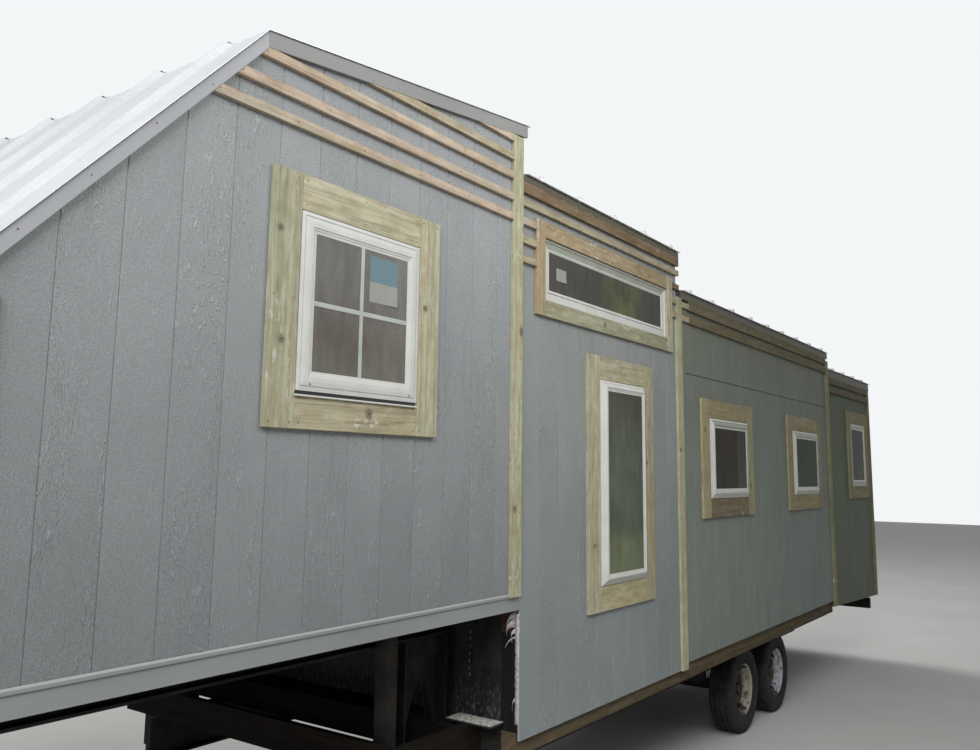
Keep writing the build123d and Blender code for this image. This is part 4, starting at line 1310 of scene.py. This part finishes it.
def frame_profile(shoulder, front, width, glass):
    """Outline of one vinyl frame as (inset, outward) points."""
    if front < FLAT_FRONT:
        gap = front - GAP_DEPTH
        face = ((GAP_WIDTH, front), (0.011, front), (0.013, front - CHANNEL_DEPTH),
                (width - 0.016, front - CHANNEL_DEPTH - 0.001), (width - 0.014, front - 0.003),
                (width - 0.006, front - 0.004), (width - 0.005, glass + 0.001))
    else:
        gap = shoulder - GAP_DEPTH
        rise = {inset: shoulder + (front - shoulder) * inset / BEVEL_REACH
                for inset in (GAP_WIDTH, 0.018, 0.0195, 0.0225, 0.024)}
        face = ((GAP_WIDTH, rise[GAP_WIDTH]), (0.018, rise[0.018]), (0.0195, rise[0.0195] - JOINT_LINE),
                (0.0225, rise[0.0225] - JOINT_LINE), (0.024, rise[0.024]), (BEVEL_REACH, front),
                (width - 0.022, front), (width - 0.020, front - 0.003),
                (width - 0.012, front - 0.004), (width - 0.010, glass + 0.002))
    return ((0, FRAME_BACK), (0, gap), (GAP_WIDTH, gap), *face, (width, glass + 0.001), (width, FRAME_BACK))


def sweep(shape, low, high, out, profile, shaded_sides):
    """Sweep an (inset, outward) profile round a rectangle; some sides of it carry painted shade."""
    loops = []
    for inset, lift in profile:
        ring = ((low.x + inset, low.z + inset), (high.x - inset, low.z + inset),
                (high.x - inset, high.z - inset), (low.x + inset, high.z - inset))
        loops.append([shape.verts.new((x, out * (WALL_FACE + lift), z)) for x, z in ring])
    insets = [inset for inset, lift in profile]
    for inset, first, second in zip(insets, loops, loops[1:] + loops[:1]):
        for index, made in enumerate(bridge(shape, first, second)):
            if index in shaded_sides and SHADE_START < inset < insets[-1] - SHADE_END:
                made.material_index = 1


def window_units():
    """Corners, outward sign, shoulder, front, face width and glass distance of every window."""
    shape = clean_copy("window_frames")
    panes = boxes("window_glass")
    units = []
    for group in solids(shape):
        low, high = corners(group)
        pane = min(panes, key=lambda pane: ((pane[0] + pane[1]) / 2 - (low + high) / 2).length)
        out = -1 if low.y < 0 else 1
        rim = [out * vert.co.y for face in group for vert in face.verts if vert.co.x < low.x + SPOT]
        front = max(out * low.y, out * high.y) - WALL_FACE
        glass = max(out * pane[0].y, out * pane[1].y) - WALL_FACE
        units.append((low, high, out, max(rim) - WALL_FACE, front, pane[0].x - low.x, glass))
    shape.free()
    return units


def window_frames():
    shape = bmesh.new()
    for low, high, out, *sizes in UNITS:
        shaded_sides = [shaded_sides for start, shaded_sides in SHADED_SIDES if low.x + HALF_LENGTH > start][-1]
        sweep(shape, low, high, out, frame_profile(*sizes), shaded_sides)
    bmesh.ops.recalc_face_normals(shape, faces=shape.faces)
    piece("vinyl_window_frames", shape, [VINYL, SHADED_VINYL], stands_for=["window_frames"])


UNITS = window_units()
window_frames()


# %% [markdown]
# The loft windows have bars over the glass in a cross, two drain holes with dark plugs, and a sill
# that sticks out below with a dark strip above it, a painted shadow. All of it could come from the
# frame, but these are pieces of 1 to 3 mm that belong to the looks. They are drawn as blocks with
# eased edges, which one helper makes for every small flat piece.

# %% Loft window bars and sill
LOFT_START = 1.165
NEAR_ENOUGH = 0.05
BAR_WIDTH = 0.019
BAR_PLACE = (1.504, 2.762)
BAR_DEPTH = (-0.001, 0.002)
BAR_EASE = 0.0006
SILL = ((1.160, 2.4005), (1.852, 2.4075))
SILL_DEPTH = (0.0195, 0.030)
SILL_EASE = 0.0025
SILL_SHADOW_DEPTH = (0.0192, 0.0202)
SILL_SHADOW_INSET = 0.004
DRAIN_HOLES = (1.234, 1.803)
DRAIN_HEIGHT = 2.449
DRAIN_PLUG = (0.0034, 0.0007, 8)
# Dark for the painted shadow strip above the sill, and for the drain plugs.
SHADOW_GAP_AND_PLUG_DARK = mottled("shadow_gap_and_plug_dark", 0.008, 0.02, 300, roughness=0.9)
BAR_PAINT = mottled("window_bar_paint", (0.31, 0.345, 0.30), (0.37, 0.40, 0.36), 12, roughness=0.35)
LOFT_UNITS = [unit for unit in UNITS if abs(unit[0].x + HALF_LENGTH - LOFT_START) < NEAR_ENOUGH]


def block(shape, out, xs, zs, depths, ease=0.0):
    """Add a box on a side wall that reaches between two depths, with its edges eased if asked."""
    y0, y1 = sorted(out * (WALL_FACE + depth) for depth in depths)
    low, high = Vector((xs[0], y0, zs[0])), Vector((xs[1], y1, zs[1]))
    made = bmesh.ops.create_cube(shape, size=1)["verts"]
    bmesh.ops.scale(shape, vec=high - low, verts=made)
    bmesh.ops.translate(shape, vec=(low + high) / 2, verts=made)
    if ease:
        edges = {edge for vert in made for edge in vert.link_edges}
        bmesh.ops.bevel(shape, geom=list(edges), offset=ease, segments=2, profile=0.6, affect="EDGES")


def loft_trims():
    bars, sills, shadow_gaps, drains = (bmesh.new() for part in range(4))
    bar_x, bar_z = BAR_PLACE[0] - HALF_LENGTH, BAR_PLACE[1]
    half = BAR_WIDTH / 2
    (x0, z0), (x1, z1) = SILL
    x0, x1 = x0 - HALF_LENGTH, x1 - HALF_LENGTH
    for low, high, out, shoulder, front, width, glass in LOFT_UNITS:
        level = (bar_z - half, bar_z + half)
        for xs, zs in (((bar_x - half, bar_x + half), (low.z + width, high.z - width)),
                       ((low.x + width, bar_x - half), level), ((bar_x + half, high.x - width), level)):
            block(bars, out, xs, zs, [glass + depth for depth in BAR_DEPTH], BAR_EASE)
        block(sills, out, (x0, x1), (z0, z1), SILL_DEPTH, SILL_EASE)
        block(shadow_gaps, out, (x0 + SILL_SHADOW_INSET, x1 - SILL_SHADOW_INSET), (z1, low.z), SILL_SHADOW_DEPTH)
        for station in DRAIN_HOLES:
            centre = Vector((station - HALF_LENGTH, out * (WALL_FACE + front), DRAIN_HEIGHT))
            head(drains, centre, Y * out, *DRAIN_PLUG)
    for name, shape, finish in (("window_bars", bars, BAR_PAINT), ("window_sills", sills, VINYL),
                                ("sill_shadow_gaps", shadow_gaps, SHADOW_GAP_AND_PLUG_DARK), ("drain_holes", drains, SHADOW_GAP_AND_PLUG_DARK)):
        piece(f"loft_{name}", shape, [finish])


loft_trims()


# %% [markdown]
# New windows still carry a sheet of paper on the glass. It is a thin sheet whose corner curls, a
# blue field over a pale one on the loft window and plain on the long one, with nothing on it. A
# painted patch on the pane would do from afar, but it would lie flat and have no edge.

# %% Plain paper labels
# Both label colours are painted darker than paper and print, as painted shade of the glass over them.
LABEL_PALE_SHADED = (0.235, 0.245, 0.215)
LABEL_BLUE_SHADED = (0.095, 0.165, 0.190)
LABEL_SPLIT = 2.905
LABEL_END = 2.5
LABELS = ((1.548, 1.718, 2.820, 3.015, -1.2878, 0.003), (3.064, 3.172, 3.197, 3.268, -1.2688, 0.002))
LABEL_STEPS = 8
LABEL_THICKNESS = 0.0003


def paper_finish():
    finish = Finish("plain_label_paper")
    x, y, z = finish.split(finish.own)
    upper = finish.calc("GREATER_THAN", z, LABEL_SPLIT)
    loft = finish.calc("LESS_THAN", x, LABEL_END - HALF_LENGTH)
    fibres = finish.noise(60)
    finish.paint(finish.tinted(finish.mix(finish.times(upper, loft), LABEL_PALE_SHADED, LABEL_BLUE_SHADED),
                               finish.ramp(fibres, (0.3, 0.94), (0.7, 1.05))))
    finish.bump(fibres, 0.2, 0.0004)
    return finish.material


def paper(shape, x0, x1, z0, z1, face, curl):
    """A sheet on the left wall whose lower corner lifts by a few millimetres."""
    shares = [step / LABEL_STEPS for step in range(LABEL_STEPS + 1)]
    rows = [[shape.verts.new((x0 + (x1 - x0) * over - HALF_LENGTH,
                              face - curl * max(0.0, (down + over) / 2 - 0.7) / 0.3,
                              z1 + (z0 - z1) * down)) for over in shares] for down in shares]
    for first, second in zip(rows, rows[1:]):
        for step in range(LABEL_STEPS):
            shape.faces.new((first[step], second[step], second[step + 1], first[step + 1]))


def labels():
    shape = bmesh.new()
    for label in LABELS:
        paper(shape, *label)
    thickened(piece("plain_window_labels", shape, [paper_finish()]), LABEL_THICKNESS)


labels()


# %% [markdown]
# ## Wheels
# The tyres and the dished steel wheels come from the frame. Rubber is nearly black but never even:
# dust lies on the sidewall and the tread is rubbed grey. The wheels are white where the paint
# holds, and dark elsewhere with brake dust and rust and with painted shade of the deep dish, most
# of all on the side of the middle towards the nose. The shader knows how far each spot is from
# there, and a noise makes the border ragged, as chipped paint is. A band by radius alone would
# look machined.

# %% Rubber and wheel paint
AXLE_HEIGHT = 0.345
AXLE_PLACES = {"front": 1.210, "rear": 2.053}
DIRT_AND_SHADE_RADIUS = 0.238
DIRT_AND_SHADE_SHIFT = 0.105
DIRT_AND_SHADE_RAGGED = 0.22
RIM_TONES = {"front": (0.34, 0.325, 0.26), "rear": (0.44, 0.46, 0.49)}


def wheel_paint(end, tone):
    finish = Finish(f"worn_wheel_paint_{end}", gloss=0.15)
    x, y, z = finish.split(finish.own)
    reach = finish.measure("LENGTH", finish.join(finish.less(x, AXLE_PLACES[end] - DIRT_AND_SHADE_SHIFT), 0.0,
                                                 finish.less(z, AXLE_HEIGHT)))
    chips = finish.noise(17, 5, roughness=0.6)
    border = finish.calc("ADD", reach, finish.times(finish.less(chips, 0.5), DIRT_AND_SHADE_RAGGED))
    white = finish.ramp(chips, (0.48, tone), (0.60, tuple(channel * 0.7 for channel in tone)),
                        (0.68, (0.05, 0.04, 0.03)))
    # Brake dust and rust, and painted shade of the deep dish and the tyre.
    dark = finish.ramp(chips, (0.35, (0.016, 0.014, 0.013)), (0.72, (0.060, 0.044, 0.034)))
    finish.paint(finish.mix(finish.fade(border, DIRT_AND_SHADE_RADIUS, DIRT_AND_SHADE_RADIUS + 0.004), dark, white))
    finish.rough(chips, 0.35, 0.75)
    finish.bump(chips, 0.2, 0.0006)
    return finish.material


RUBBER = mottled("dusty_rubber", (0.019, 0.019, 0.023), (0.050, 0.047, 0.047), 12, 6, span=(0.4, 0.8),
                 rough=(0.6, 0.9), bump=(0.15, 0.0008), gloss=0.08)
for end, tone in RIM_TONES.items():
    paint = wheel_paint(end, tone)
    for side in ("left", "right"):
        dress(f"rim_{side}_{end}", paint)
        dress(f"tyre_{side}_{end}", RUBBER)
print("wheels painted")


# %% [markdown]
# ## The door
# The right side has a plain painted door leaf. It could share the siding's paint, but a primed
# steel or fibreglass leaf is smoother and a little glossier, so it gets a finer one.

# %% Door finish
dress("entry_door", mottled("door_paint", (0.28, 0.287, 0.29), (0.32, 0.327, 0.33), 3, rough=(0.35, 0.5)))
print("door painted")
